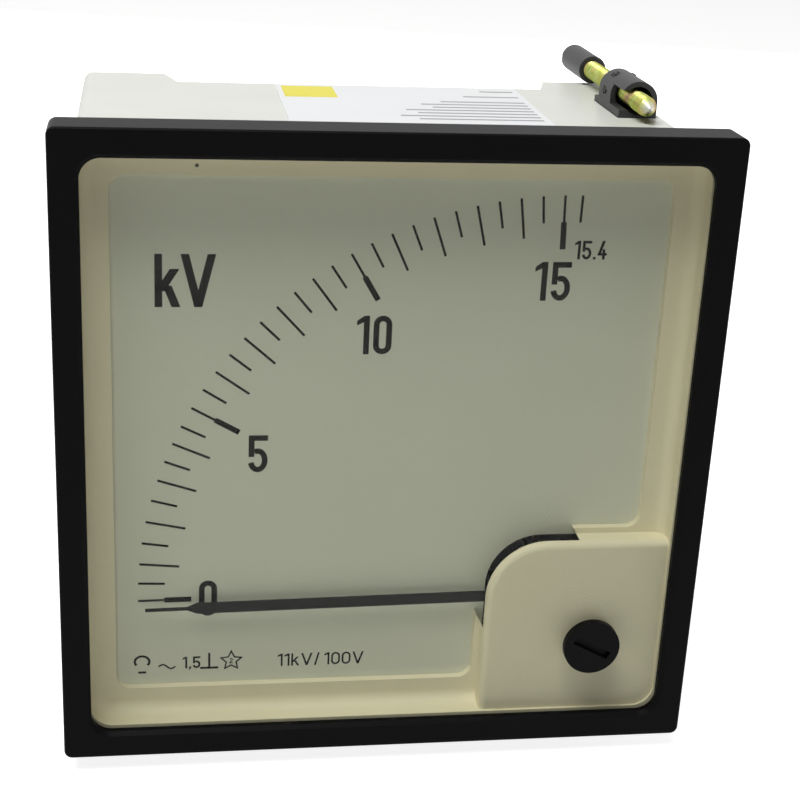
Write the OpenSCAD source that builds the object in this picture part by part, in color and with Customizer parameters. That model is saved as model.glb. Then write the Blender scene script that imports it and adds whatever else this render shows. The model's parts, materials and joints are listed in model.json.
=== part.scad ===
// Square panel meter: a 90 degree moving-iron voltmeter in a 96 x 96 mm front frame.
// X runs to the right, Y into the panel and Z up. The origin is the centre of the front
// frame's rear face, where it seats on the panel. All sizes are in millimetres.

/* [Case] */
// Outside width and height of the case body
case_size = 90; // [80:0.5:110]
// Depth from the panel face to the rear of the side blocks
case_depth = 52; // [48:0.5:64]
// Wall thickness of the case
case_wall = 2.2; // [1.8:0.1:2.8]
// Outside corner radius of the case
case_corner_r = 1.5; // [1:0.1:2.5]
// Depth of the terminal recess in the rear
recess_depth = 7.2; // [6:0.1:9]
// Width of the terminal recess at its floor
recess_w = 60; // [52:0.5:64]
// How far each side of the recess leans outward
recess_slant = 2; // [1:0.1:3]
// Side of the pillar in each front corner that carries the dial
dial_post_w = 4.6; // [4:0.1:6]
// Length of the dial pillars
dial_post_len = 9; // [6:0.5:12]
// Diameter of the pins that locate the dial
dial_pin_d = 1.8; // [1.4:0.1:2.2]

/* [Front frame] */
// How far the frame overlaps the panel beyond the case, each side
frame_overlap = 3; // [2.5:0.1:6]
// Depth of the frame in front of the panel
frame_depth = 6.5; // [6.2:0.1:7.5]
// Outside corner radius of the frame
frame_corner_r = 1.2; // [1:0.1:3]
// Rounding of the frame's front edge
frame_edge_r = 0.4; // [0.3:0.1:1]
// How far the lip covers the window at the left and right
lip_cover_x = 1.1; // [0.8:0.05:2]
// How far the lip covers the window at the top and bottom
lip_cover_z = 1.15; // [0.8:0.05:2]
// Thickness of the lip in front of the window
lip_t = 1.5; // [1.3:0.1:2]
// Corner radius of the opening
opening_r = 3; // [2:0.1:5]
// Chamfer round the opening
opening_chamfer = 0.6; // [0.3:0.1:0.8]
// Width of each of the four snap arms
snap_w = 6; // [4:0.5:8]
// Length of the snap arms behind the frame
snap_len = 8; // [7:0.5:12]
// Thickness of the snap arms
snap_t = 0.7; // [0.6:0.05:0.9]
// Distance of the snap arms from the middle
snap_x = 24; // [18:1:27]
// Thickness of the window
window_t = 2; // [1.8:0.1:2.2]

/* [Dial mask] */
// Depth of the mask behind the window
mask_depth = 5.2; // [4.8:0.1:5.6]
// Thickness of the mask's floor
mask_floor_t = 1.2; // [1:0.1:1.4]
// Thickness of the mask's rim
mask_rim_t = 0.9; // [0.7:0.1:1.2]
// Radius between the rim and the floor
mask_fillet_r = 1.8; // [1:0.1:2.2]
// Corner radius of the tray
mask_corner_r = 3.4; // [2.4:0.1:5]
// Distance from the case's side to the dial aperture
aperture_margin = 4.8; // [4.6:0.1:8]
// Corner radius of the dial aperture
aperture_r = 2.2; // [1:0.1:4]
// Width of the hood, from the case's right side
hood_w = 29; // [28:0.1:31]
// Height of the hood, from the case's bottom
hood_h = 29.6; // [28:0.1:31]
// Corner radius of the hood
hood_corner_r = 9.3; // [7:0.1:11]
// Rounding of the hood's front edge
hood_edge_r = 1; // [0.5:0.1:1.5]
// Wall thickness of the hood
hood_wall = 1.2; // [1:0.1:1.4]
// Gap between the hood and the window
hood_gap = 0.4; // [0.4:0.05:0.6]
// Width of the floor strip left between the aperture and the hood
hood_strip = 0.9; // [0.6:0.1:1.5]
// Distance from the case's right side to the right end of the pointer window
pointer_window_right = 14.6; // [14:0.1:15.2]
// Distance from the case's bottom to the lower end of the pointer window
pointer_window_low = 15.5; // [15:0.1:16]

/* [Dial and pointer] */
// Thickness of the dial sheet
dial_t = 0.8; // [0.5:0.1:0.9]
// Inset of the pointer's axis from the case's right side
pivot_inset_x = 19.5; // [19.3:0.05:19.9]
// Inset of the pointer's axis from the case's bottom
pivot_inset_z = 19.7; // [19.4:0.05:20]
// Corner radius of the dial's cut-out
dial_cut_r = 8.4; // [7:0.1:9]
// How far the cut-out lies inside the hood's outline
dial_cut_inset = 0.65; // [0.4:0.05:0.9]
// Distance from the pointer's tip to the left side of the aperture
tip_margin = 4.4; // [2.5:0.1:6]
// Width of the pointer's blade
pointer_w = 1.75; // [1.4:0.05:2.4]
// Thickness of the pointer's sheet
pointer_t = 0.3; // [0.25:0.05:0.4]
// Length of the thin tip
tip_len = 6.3; // [4:0.1:9]
// Width of the thin tip
tip_w = 0.45; // [0.3:0.05:0.8]
// Length of the taper between blade and tip
taper_len = 1.5; // [1:0.1:5]
// Angle of the pointer below the horizontal at rest
rest_angle = 1; // [0:0.1:2]

/* [Zero adjuster] */
// Inset of the adjuster's axis from the case's right side
adjuster_inset_x = 12.45; // [12.2:0.05:13]
// Inset of the adjuster's axis from the case's bottom
adjuster_inset_z = 13; // [12.8:0.1:13.6]
// Diameter of the adjuster's head
adjuster_head_d = 8.8; // [7:0.1:10]
// Thickness of the adjuster's head
adjuster_head_t = 1.2; // [1:0.1:1.4]
// Diameter of the adjuster's shaft
adjuster_shaft_d = 4.6; // [4.2:0.1:4.8]
// Offset of the eccentric pin from the adjuster's axis
eccentric = 1.2; // [0.9:0.05:1.3]
// Diameter of the eccentric pin
eccentric_pin_d = 1.2; // [0.9:0.1:1.4]
// Width of the screwdriver slot
slot_w = 1.3; // [0.8:0.1:1.8]
// Length of the screwdriver slot
slot_len = 6.2; // [4:0.1:6.8]
// Depth of the screwdriver slot
slot_depth = 0.8; // [0.4:0.1:0.9]
// Angle of the screwdriver slot
slot_angle = -28; // [-90:1:90]

/* [Movement] */
// Diameter of the balance weight behind the pointer
tail_weight_d = 3.6; // [3:0.1:4]
// Length of the balance weight behind the pointer
tail_weight_len = 4.2; // [3:0.1:5]
// Distance of the tail weight's far end from the pointer's axis
tail_reach = 11.4; // [10:0.1:12]
// Distance of the side weights' far ends from the pointer's axis
side_reach = 7.4; // [6:0.1:8]
// Outside diameter of the coil winding
coil_d = 24; // [21:0.5:26]
// Diameter of the bobbin's flanges
flange_d = 25; // [24:0.5:26.5]
// Bore of the bobbin
bobbin_bore = 13; // [12.6:0.2:13.4]
// Wall of the bobbin's tube
bobbin_wall = 1; // [0.8:0.1:1.2]
// Thickness of the bobbin's flanges
flange_t = 1.2; // [0.8:0.1:1.6]
// Length of the bobbin
bobbin_len = 19; // [18:0.5:21]
// Thickness of the movement base
base_t = 4; // [3.4:0.1:4.4]
// Side of the movement base
base_w = 33.5; // [32:0.5:34]
// Diameter of the spindle
spindle_d = 1.6; // [1.2:0.1:2]
// Diameter of the pivots at the spindle's ends
spindle_pivot_d = 0.6; // [0.4:0.1:0.8]
// Thickness of the front bridge
bridge_t = 1.4; // [1.2:0.1:1.5]
// Diameter of the pillars
pillar_d = 4.5; // [4:0.1:4.6]
// Distance of the pillars from the pointer's axis
pillar_reach = 15.2; // [15:0.1:15.4]
// Diameter of the screws in the bridge
bridge_screw_d = 2; // [1.6:0.1:2.2]
// Outer radius of the damping chamber
chamber_r = 16.2; // [15.5:0.1:16.4]
// Wall thickness of the damping chamber
chamber_wall = 0.8; // [0.6:0.1:1]
// Turns of the hairspring
spring_turns = 4; // [3:1:5]
// Inner radius of the hairspring
spring_inner_r = 1.9; // [1.8:0.1:2.1]
// Outer radius of the hairspring
spring_outer_r = 5.6; // [5:0.1:5.8]
// Thickness of the hairspring's strip
spring_strip = 0.25; // [0.2:0.05:0.3]

/* [Terminals] */
// Distance between the two terminals
terminal_pitch = 24; // [20:0.5:30]
// Diameter of the terminal studs
terminal_d = 4; // [3:0.5:5]
// Length of the studs behind the case's rear wall
terminal_len = 11; // [10:0.5:14]
// Width across the flats of the terminal nuts
terminal_af = 7; // [6.5:0.5:8]

/* [Screw clamps] */
// Inset of the clamp's axis from the case's side
clamp_inset = 5; // [4.8:0.1:6]
// Height of the clamp's axis above the case
clamp_height = 2.6; // [2.5:0.1:3.4]
// Distance from the panel face to the front of the saddle
saddle_front = 21.9; // [20:0.1:25]
// Length of the saddle
saddle_len = 12.1; // [11.8:0.1:14]
// Width of the saddle
saddle_w = 6; // [5.9:0.1:6.4]
// Length of the foot behind the saddle
foot_len = 2.3; // [1.5:0.1:3]
// Diameter of the clamp stud
stud_d = 3; // [2.6:0.1:3]
// Distance from the panel face to the stud's point
stud_front = 15.6; // [14:0.1:18]
// Length of the stud
stud_len = 45.8; // [43:0.1:50]
// Diameter of the knob
knob_d = 4.6; // [4.2:0.1:5]
// Length of the knob
knob_len = 13.4; // [12:0.1:16]

/* [Label] */
// Width of the label on the case's top
label_w = 39.7; // [30:0.1:42]
// Length of the label, front to rear
label_len = 32.7; // [25:0.1:36]
// Distance of the label's middle from the meter's middle
label_x = 5.4; // [0:0.1:7]
// Thickness of the label
label_t = 0.15; // [0.1:0.05:0.3]

/* [Fits] */
// Side clearance of the window and the mask in the front frame
frame_gap = 0.3; // [0.2:0.05:0.4]
// Radial running clearance of pins in their holes
running = 0.08; // [0.04:0.01:0.1]
// Clearance between pieces that stay clear of each other
clear = 0.3; // [0.25:0.05:0.35]
// Clearance of pieces that are fastened in a hole
fixed_gap = 0.1; // [0.05:0.05:0.15]

/* [Hidden] */
$fn = 64;
cut = 0.1; // how far a cutting shape runs past the face it opens

// Depth stations of the front stack, from the front
half_case = case_size / 2;
dial_pin_at = half_case - 3.9;
dial_pin_len = 0.6;
frame_size = case_size + 2 * frame_overlap;
frame_front = -frame_depth;
window_front = frame_front + lip_t;
window_rear = window_front + window_t;
mask_rear = window_rear + mask_depth;
mask_floor = mask_rear - mask_floor_t;
hood_face = window_rear + hood_gap;
hood_inside = hood_face + hood_wall;
dial_rear = mask_rear + dial_t;
rear_wall = case_depth - recess_depth;
rear_inside = rear_wall - case_wall;

// Places in the front view
aperture_half = half_case - aperture_margin;
hood_left = half_case - hood_w;
hood_top = hood_h - half_case;
notch_left = hood_left - hood_strip;
notch_top = hood_top + hood_strip;
pivot_x = half_case - pivot_inset_x;
pivot_z = pivot_inset_z - half_case;
adjuster_x = half_case - adjuster_inset_x;
adjuster_z = adjuster_inset_z - half_case;
adjuster_dx = adjuster_x - pivot_x;
adjuster_dz = adjuster_z - pivot_z;
adjuster_reach = norm([adjuster_dx, adjuster_dz]);
adjuster_bearing = atan2(adjuster_dz, adjuster_dx);

// Depth stations of the movement, from the front
pointer_front = dial_rear - 2.9;
lever_front = dial_rear - 1.8;
lever_t = 0.8;
bridge_front = dial_rear + 0.4;
bridge_rear = bridge_front + bridge_t;
spring_front = bridge_rear + 0.4;
spring_rear = spring_front + 0.7;
hub_front = spring_rear + 0.5;
hub_len = 1.8;
cross_t = 0.4;
cross_front = hub_front + 0.8;
chamber_front = hub_front + hub_len + 1;
chamber_depth = 5;
chamber_rear = chamber_front + chamber_depth;
base_front = chamber_rear + 0.6 + bobbin_len;
base_rear = base_front + base_t;
bobbin_front = base_front - bobbin_len;

// The pointer window in the hood: how far each end slants, and how far the slit runs into the
// hood at its top end and at its side end
window_slant = [1.7, 3.8];
window_top = [0.9, 2];
window_side = [1.4, 3.2];

// Bearings and bridge
bearing_sleeve_d = 5;
bearing_head_d = 6.4;
bearing_head_t = 0.7;
bearing_screw_d = 4;
bearing_slot_w = 0.7;
pivot_depth = 1.3;
pivot_play = 0.2;
pivot_taper = 0.5;
pillar_angles = [24, -125];
bridge_w = 5;
countersink = 0.8;
bridge_screw_len = 6;
driver_slot_w = 0.5;
driver_slot_depth = 0.4;

// Pointer, hub and balance cross
crank_r = 7.5;
crank_w = 2;
pointer_ring_d = 6;
hub_d = 4.4;
cross_w = 0.8;
side_weight_d = 2.2;
side_weight_len = 1;
cross_turns = [0, 90, 180];

// Damping box and its vane
vane_angle = -1;
vane_t = 0.3;
chamber_span = [-106, 10];
chamber_side_angle = 4;
chamber_eye_r = 4;
chamber_clear = 0.5;

// Irons. The moving one is a curved flag on two arms; the fixed one lines the bobbin.
iron_r = bobbin_bore / 2 - 0.1;
iron_t = 0.5;
iron_gap = 0.8;
iron_margin = 3;
moving_iron_span = [150, 200];
fixed_iron_span = [190, 330];
iron_arm_angle = 175;
iron_arm_w = 0.6;
iron_arm_len = 1.2;
collar_wall = 0.6;

// Zero lever
lever_ring_wall = 1.3;
lever_tail_angle = -70;
lever_tail_w = 2;
lever_tail_t = 0.8;
fork_play = 0.12;
fork_wall = 1;
fork_depth = 1.4;
fork_tip = 1.2;

// Screws and bosses
boss_d = 7;
base_corner_r = 4;
base_screw_d = 2.6;
base_screw_head_d = 4.8;
base_screw_head_t = 1.6;
base_screw_at = [[-1, 1], [-1, -1], [1, 1]];
base_screw_inset = 3.2;
screw_bite = 3;
pan_slot_w = 0.6;

// The resistor board, on two posts of the case
board = [38, 26, 1.6];
board_post_len = 9;
board_at = [-20, rear_inside - board_post_len, 14];
board_screw_d = 2.6;
board_screw_pitch = 30;
resistor_d = 6;
resistor_len = 16;
resistor_pitch = 13;
resistor_gap = 0.8;
resistor_lead_run = 1.5;
lead_d = 0.8;
wire_d = 1.3;

// Terminals
tag_t = 0.5;
tag_w = 8;
tag_tail_w = 3;
stud_head_t = 3;
fixing_nut_t = 2.2;
washer_t = 0.8;
washer_d = 9;
outer_nut_t = 3.2;
nut_flat_to_corner = 2 / sqrt(3);
nut_chamfer_start = 0.15;
nut_chamfer_angle = 30;

// Clamps
clamp_x = half_case - clamp_inset;
clamp_z = half_case + clamp_height;
seat_depth = 0.8;
clamp_nut_af = 5.5;
clamp_nut_t = 1.8;
nut_front = saddle_front + 8;
stud_tip_len = 1.6;
stud_tip_d = 0.3;
stud_root_d = stud_d - 0.5;
knob_cap = 1.8;
knob_front = stud_front + stud_len - knob_len + knob_cap;
knob_rear = knob_front + knob_len;
knob_edge = 0.8;
knob_slot_w = 0.8;
knob_slot_depth = 1;
foot_t = 0.9;
tunnel_wall = 0.8;
side_window_len = 5.4;
side_window_sill = 1.2;
side_window_top = 0.4;
side_window_wall = 1;
tongue_w = 2.6;
tongue_foot_w = 4.4;
tongue_foot_t = 1.2;
tongue_len = 4.4;
tongue_front = saddle_front + 6.6;
keyhole_front = saddle_front + 1.2;
keyhole_neck = saddle_front + 6.2;

// ---------------------------------------------------------------- shared shapes

// Carries an outline of the front view (x, z) through the depth y0 to y1
module slab(y0, y1) {
    translate([0, y1, 0])
        rotate([90, 0, 0])
            linear_extrude(y1 - y0) children();
}

// A round bar along the depth
module bar(y0, y1, d) {
    translate([0, y0, 0])
        rotate([-90, 0, 0])
            cylinder(h = y1 - y0, d = d);
}

// A cone along the depth
module cone(y0, y1, d0, d1) {
    translate([0, y0, 0])
        rotate([-90, 0, 0])
            cylinder(h = y1 - y0, d1 = d0, d2 = d1);
}

// Turns a profile of radius and depth round the depth axis
module turned() {
    rotate([-90, 0, 0])
        rotate_extrude() children();
}

module round_rect(w, h, r) {
    square([w - 2 * r, h], center = true);
    square([w, h - 2 * r], center = true);
    for (sx = [-1, 1], sz = [-1, 1])
        translate([sx * (w / 2 - r), sz * (h / 2 - r)]) circle(r);
}

// Sweeps an edge profile round a rounded rectangle and fills its middle. The profile runs
// outward from the centre of the corner radius along x, and backward along y up to t.
module swept_slab(w, h, r, t) {
    translate([r - w / 2, 0, r - h / 2]) cube([w - 2 * r, t, h - 2 * r]);
    for (k = [0 : 3]) {
        reach = (k % 2 == 0 ? w : h) / 2 - r;
        run = (k % 2 == 0 ? h : w) - 2 * r;
        rotate([0, 90 * k, 0])
            translate([reach, 0, -run / 2]) {
                linear_extrude(run) children();
                rotate([-90, 0, 0]) rotate_extrude(angle = 90) children();
            }
    }
}

// Edge profile with its outer front corner rounded
module rounded_edge(r, t, edge) {
    translate([0, edge]) square([r, t - edge]);
    square([r - edge, t]);
    intersection() {
        translate([r - edge, edge]) circle(edge);
        square([r, t]);
    }
}

// Edge profile that opens forward at 45 degrees
module flared_edge(r, t) {
    polygon([[0, 0], [r + t, 0], [r, t], [0, t]]);
}

module at_pivot() {
    translate([pivot_x, 0, pivot_z]) children();
}

module at_adjuster() {
    translate([adjuster_x, 0, adjuster_z]) children();
}

// Turns a piece anticlockwise, as the front view shows it
module face_turn(angle) {
    rotate([0, -angle, 0]) children();
}

// Part of a ring in the front view, from angle a0 to angle a1
module ring_sector(r0, r1, a0, a1) {
    steps = 12;
    step = (a1 - a0) / steps;
    fan = [for (i = [0 : steps]) 2 * r1 * [cos(a0 + i * step), sin(a0 + i * step)]];
    intersection() {
        difference() {
            circle(r1);
            circle(r0);
        }
        polygon(concat([[0, 0]], fan));
    }
}

module hexagon(across_flats) {
    circle(d = across_flats * nut_flat_to_corner, $fn = 6);
}

// A pan-head screw that points backward, its head's underside at y
module pan_screw(y, d, len, head_d, head_t) {
    difference() {
        union() {
            bar(y - head_t, y, head_d);
            bar(y - cut, y + len, d);
        }
        translate([-head_d, y - head_t - cut, -pan_slot_w / 2])
            cube([2 * head_d, head_t / 2 + cut, pan_slot_w]);
    }
}

// A wire through the given points, round at its bends
module wire(points, d) {
    for (i = [0 : len(points) - 2]) {
        run = points[i + 1] - points[i];
        length = norm(run);
        translate(points[i])
            rotate([0, acos(run[2] / length), atan2(run[1], run[0])])
                cylinder(h = length, d = d, $fn = 20);
        if (i > 0) translate(points[i]) sphere(d = 1.04 * d, $fn = 20);
    }
}

// ---------------------------------------------------------------- front frame

// Inner size of the frame behind its lip
frame_inner = case_size + 2 * frame_gap;

snap_nib_len = 2;

module snap_arm() {
    arm_z = frame_inner / 2;
    translate([snap_x - snap_w / 2, 0, 0]) {
        translate([0, -1, arm_z]) cube([snap_w, snap_len + 1, snap_t]);
        translate([0, snap_len - snap_nib_len, arm_z - frame_gap - snap_t + cut])
            cube([snap_w, snap_nib_len, frame_gap + snap_t]);
    }
}

module bezel_frame() {
    color([0.03, 0.03, 0.03]) {
        difference() {
            translate([0, frame_front, 0])
                swept_slab(frame_size, frame_size, frame_corner_r, frame_depth)
                    rounded_edge(frame_corner_r, frame_depth, frame_edge_r);
            opening_w = case_size - 2 * lip_cover_x;
            opening_h = case_size - 2 * lip_cover_z;
            slab(frame_front - cut, window_front + cut) round_rect(opening_w, opening_h, opening_r);
            translate([0, frame_front, 0])
                swept_slab(opening_w, opening_h, opening_r, opening_chamfer)
                    flared_edge(opening_r, opening_chamfer);
            slab(window_front, cut) round_rect(frame_inner, frame_inner, case_corner_r);
        }
        for (up = [0, 180], side = [0, 1])
            rotate([0, up, 0]) mirror([side, 0, 0]) snap_arm();
    }
}

module front_window() {
    color([0.85, 0.9, 0.9, 0.35])
        difference() {
            slab(window_front, window_rear) round_rect(case_size, case_size, case_corner_r);
            at_adjuster() bar(window_front - cut, window_rear + cut, adjuster_shaft_d + 2 * running);
        }
}

// ---------------------------------------------------------------- dial mask

// The dial aperture: a square with the hood's corner left out
module aperture_outline() {
    tall_w = notch_left + aperture_half;
    wide_h = aperture_half - notch_top;
    translate([(notch_left - aperture_half) / 2, 0])
        round_rect(tall_w, 2 * aperture_half, aperture_r);
    translate([0, (notch_top + aperture_half) / 2])
        round_rect(2 * aperture_half, wide_h, aperture_r);
    translate([-aperture_half + aperture_r, notch_top])
        square([tall_w - aperture_r, aperture_half - notch_top - aperture_r]);
}

// Square of the hood's corner, grown outward by `grow`, reaching past the right and bottom
module hood_outline(grow, r) {
    reach = case_size / 2;
    translate([hood_left - grow + reach, hood_top + grow - reach])
        round_rect(2 * reach, 2 * reach, r);
}

// Opening in the hood's side, where the pointer passes out; its ends are slanted
module pointer_window() {
    x_end = half_case - pointer_window_right;
    z_end = pointer_window_low - half_case;
    left = notch_left - window_slant[0];
    top = notch_top + window_slant[0];
    polygon([
        [left, z_end + window_slant[1]], [left, top], [x_end - window_slant[0], top],
        [x_end + window_top[0], hood_top - window_top[1]],
        [hood_left + window_side[0], z_end - window_side[1]]
    ]);
}

module dial_mask() {
    tray = case_size - 2 * mask_rim_t;
    tray_depth = mask_floor - window_rear;
    color([0.87, 0.85, 0.74])
        difference() {
            union() {
                difference() {
                    slab(window_rear, mask_rear) round_rect(case_size, case_size, case_corner_r);
                    translate([0, mask_floor, 0])
                        mirror([0, 1, 0])
                            swept_slab(tray, tray, mask_corner_r, tray_depth + cut)
                                rounded_edge(mask_corner_r, tray_depth + cut, mask_fillet_r);
                    slab(mask_floor - cut, mask_rear + cut) aperture_outline();
                }
                hood_body();
            }
            slab(hood_inside, mask_rear + cut) hood_inside_outline();
            slab(hood_inside, mask_rear + cut) pointer_window();
            at_adjuster() bar(hood_face - cut, hood_inside + cut, adjuster_shaft_d + 4 * clear);
            for (sx = [-1, 1], sz = [-1, 1])
                translate([sx * dial_pin_at, 0, sz * dial_pin_at])
                    bar(mask_rear - dial_pin_len - clear, mask_rear + cut, dial_pin_d + 2 * fixed_gap);
        }
}

// The hood's outer form, cut off at the mask's own outline
module hood_body() {
    reach = case_size / 2;
    intersection() {
        translate([hood_left + reach, hood_face, hood_top - reach])
            swept_slab(2 * reach, 2 * reach, hood_corner_r, mask_rear - hood_face)
                rounded_edge(hood_corner_r, mask_rear - hood_face, hood_edge_r);
        slab(hood_face - cut, mask_rear) round_rect(case_size, case_size, case_corner_r);
    }
}

module hood_inside_outline() {
    intersection() {
        hood_outline(-hood_wall, hood_corner_r - hood_wall);
        square(case_size - 2 * (mask_rim_t + hood_wall), center = true);
    }
}

// ---------------------------------------------------------------- dial

module dial_plate() {
    side = case_size - 2 * (case_wall + clear);
    dial_corner_r = 1;
    color([0.93, 0.93, 0.9])
        slab(mask_rear, dial_rear)
            difference() {
                round_rect(side, side, dial_corner_r);
                intersection() {
                    hood_outline(-dial_cut_inset, dial_cut_r);
                    square(2 * (aperture_half + dial_cut_inset), center = true);
                }
                for (sx = [-1, 1], sz = [-1, 1])
                    translate([sx * dial_pin_at, sz * dial_pin_at])
                        circle(d = dial_pin_d + 2 * fixed_gap);
            }
}

// ---------------------------------------------------------------- case

// Plan of the case as seen from above, with every wall moved inward by t
function case_plan(t, front) = let(
        half = half_case - t,
        deep = case_depth - t,
        mid = rear_wall - t,
        lean = norm([recess_slant, recess_depth]),
        shift = t * (lean - recess_slant) / recess_depth,
        foot = recess_w / 2 + shift,
        mouth = recess_w / 2 + recess_slant + shift
    ) [
        [-half, front], [half, front], [half, deep], [mouth, deep],
        [foot, mid], [-foot, mid], [-mouth, deep], [-half, deep]
    ];

module case_block(t, front) {
    side = case_size - 2 * t;
    intersection() {
        translate([0, 0, -case_size]) linear_extrude(2 * case_size) polygon(case_plan(t, front));
        slab(front, case_depth + cut) round_rect(side, side, max(case_corner_r - t, 0.5));
    }
}

module at_base_screws() {
    reach = base_w / 2 - base_screw_inset;
    for (p = base_screw_at)
        at_pivot() translate([p[0] * reach, 0, p[1] * reach]) children();
}

module at_board_screws() {
    for (sx = [-1, 1])
        translate([board_at[0] + sx * board_screw_pitch / 2, 0, board_at[2]]) children();
}

module at_terminals() {
    for (sx = [-1, 1])
        translate([sx * terminal_pitch / 2, 0, 0]) children();
}

// Pocket and keyhole slot that take one clamp's saddle
module clamp_seat() {
    slot_rear = tongue_front + tongue_len + clear;
    translate([clamp_x - saddle_w / 2 - fixed_gap, saddle_front - fixed_gap, half_case - seat_depth])
        cube([saddle_w + 2 * fixed_gap, saddle_len + foot_len + 2 * fixed_gap, seat_depth + cut]);
    translate([clamp_x - tongue_foot_w / 2 - clear, keyhole_front, half_case - case_wall - cut])
        cube([tongue_foot_w + 2 * clear, keyhole_neck - keyhole_front, case_wall]);
    translate([clamp_x - tongue_w / 2 - fixed_gap, keyhole_front, half_case - case_wall - cut])
        cube([tongue_w + 2 * fixed_gap, slot_rear - keyhole_front, case_wall]);
}

module case_shell() {
    color([0.88, 0.89, 0.85])
        difference() {
            union() {
                difference() {
                    case_block(0, mask_rear);
                    case_block(case_wall, mask_rear - cut);
                }
                case_posts();
            }
            for (up = [0, 180]) rotate([0, up, 0]) {
                clamp_seat();
                for (side = [0, 1]) mirror([side, 0, 0]) snap_pocket();
            }
            at_terminals() bar(rear_inside - cut, rear_wall + cut, terminal_d + 2 * fixed_gap);
            at_base_screws() bar(base_rear - cut, rear_inside, base_screw_d + 2 * fixed_gap);
            at_board_screws()
                bar(board_at[1] + board[2] - cut, rear_inside, board_screw_d + 2 * fixed_gap);
        }
}

module snap_pocket() {
    pocket_front = snap_len - snap_nib_len - clear;
    translate([snap_x - snap_w / 2 - clear, pocket_front, half_case - snap_t - clear])
        cube([snap_w + 2 * clear, snap_nib_len + 2 * clear, snap_t + 2 * clear]);
}

// Pillars, pins and bosses moulded into the case
module case_posts() {
    inner = half_case - case_wall;
    for (sx = [0, 1], sz = [0, 1])
        mirror([sx, 0, 0]) mirror([0, 0, sz]) {
            translate([inner - dial_post_w, dial_rear, inner - dial_post_w])
                cube([dial_post_w + cut, dial_post_len, dial_post_w + cut]);
            translate([dial_pin_at, 0, dial_pin_at])
                bar(mask_rear - dial_pin_len, dial_rear + cut, dial_pin_d);
        }
    intersection() {
        case_block(case_wall - cut, dial_rear);
        union() {
            at_base_screws() bar(base_rear, case_depth, boss_d);
            at_board_screws() bar(board_at[1] + board[2], case_depth, boss_d);
        }
    }
}

module rating_label() {
    label_rear = rear_wall - 1;
    color([0.96, 0.96, 0.95])
        translate([label_x - label_w / 2, label_rear - label_len, half_case])
            cube([label_w, label_len, label_t]);
}

// ---------------------------------------------------------------- moving system

module spindle() {
    shoulder_front = hub_front - 0.6;
    shoulder_rear = base_front - 0.6;
    point_front = bridge_rear + cut - pivot_depth + pivot_play;
    point_rear = base_front + cut + pivot_depth - pivot_play;
    color([0.75, 0.76, 0.78])
        at_pivot()
            turned()
                polygon([
                    [0, point_front], [spindle_pivot_d / 2, point_front],
                    [spindle_pivot_d / 2, shoulder_front - pivot_taper], [spindle_d / 2, shoulder_front],
                    [spindle_d / 2, shoulder_rear], [spindle_pivot_d / 2, shoulder_rear + pivot_taper],
                    [spindle_pivot_d / 2, point_rear], [0, point_rear]
                ]);
}

// Outline of the blade and its tip, along x from the pivot
module blade_outline(reach) {
    blade_end = reach - tip_len - taper_len;
    polygon([
        [crank_r - pointer_t, -pointer_w / 2], [blade_end, -pointer_w / 2],
        [reach - tip_len, -tip_w / 2], [reach, -tip_w / 2],
        [reach, tip_w / 2], [reach - tip_len, tip_w / 2],
        [blade_end, pointer_w / 2], [crank_r - pointer_t, pointer_w / 2]
    ]);
}

module pointer() {
    reach = pivot_x + aperture_half - tip_margin;
    arm_front = hub_front + 0.2;
    color([0.04, 0.04, 0.04])
        at_pivot()
            face_turn(180 + rest_angle) {
                slab(pointer_front, pointer_front + pointer_t) blade_outline(reach);
                translate([crank_r - pointer_t, pointer_front, -crank_w / 2])
                    cube([pointer_t, arm_front + pointer_t - pointer_front, crank_w]);
                slab(arm_front, arm_front + pointer_t)
                    difference() {
                        union() {
                            circle(d = pointer_ring_d);
                            translate([0, -crank_w / 2]) square([crank_r, crank_w]);
                        }
                        circle(d = hub_d);
                    }
            }
}

// The balance cross has one arm behind the pointer and one at each side of it
function cross_arm(turn) = turn == 90 ? tail_reach : side_reach;

module at_cross_arms() {
    for (turn = cross_turns)
        at_pivot() face_turn(rest_angle - 90 + turn) {
            $arm = cross_arm(turn);
            $tail = turn == 90;
            children();
        }
}

module pointer_hub() {
    color([0.8, 0.68, 0.38])
        difference() {
            union() {
                at_pivot() bar(hub_front, hub_front + hub_len, hub_d - 2 * fixed_gap);
                at_cross_arms()
                    translate([0, cross_front, -cross_w / 2]) cube([$arm, cross_t, cross_w]);
            }
            at_pivot() bar(hub_front - cut, hub_front + hub_len + cut, spindle_d + 2 * fixed_gap);
        }
}

// Wire-wound weights that slide on the arms to balance the pointer
module balance_weights() {
    cross_mid = cross_front + cross_t / 2;
    bore_d = norm([cross_t, cross_w]) + 2 * fixed_gap;
    color([0.8, 0.68, 0.38])
        at_cross_arms() {
            len = $tail ? tail_weight_len : side_weight_len;
            translate([$arm - len, cross_mid, 0])
                rotate([0, 90, 0])
                    difference() {
                        cylinder(h = len, d = $tail ? tail_weight_d : side_weight_d);
                        translate([0, 0, -cut]) cylinder(h = len + 2 * cut, d = bore_d);
                    }
        }
}

// A collar that sits on the spindle
module collar(wall) {
    difference() {
        circle(d = spindle_d + 2 * (fixed_gap + wall));
        circle(d = spindle_d + 2 * fixed_gap);
    }
}

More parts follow.
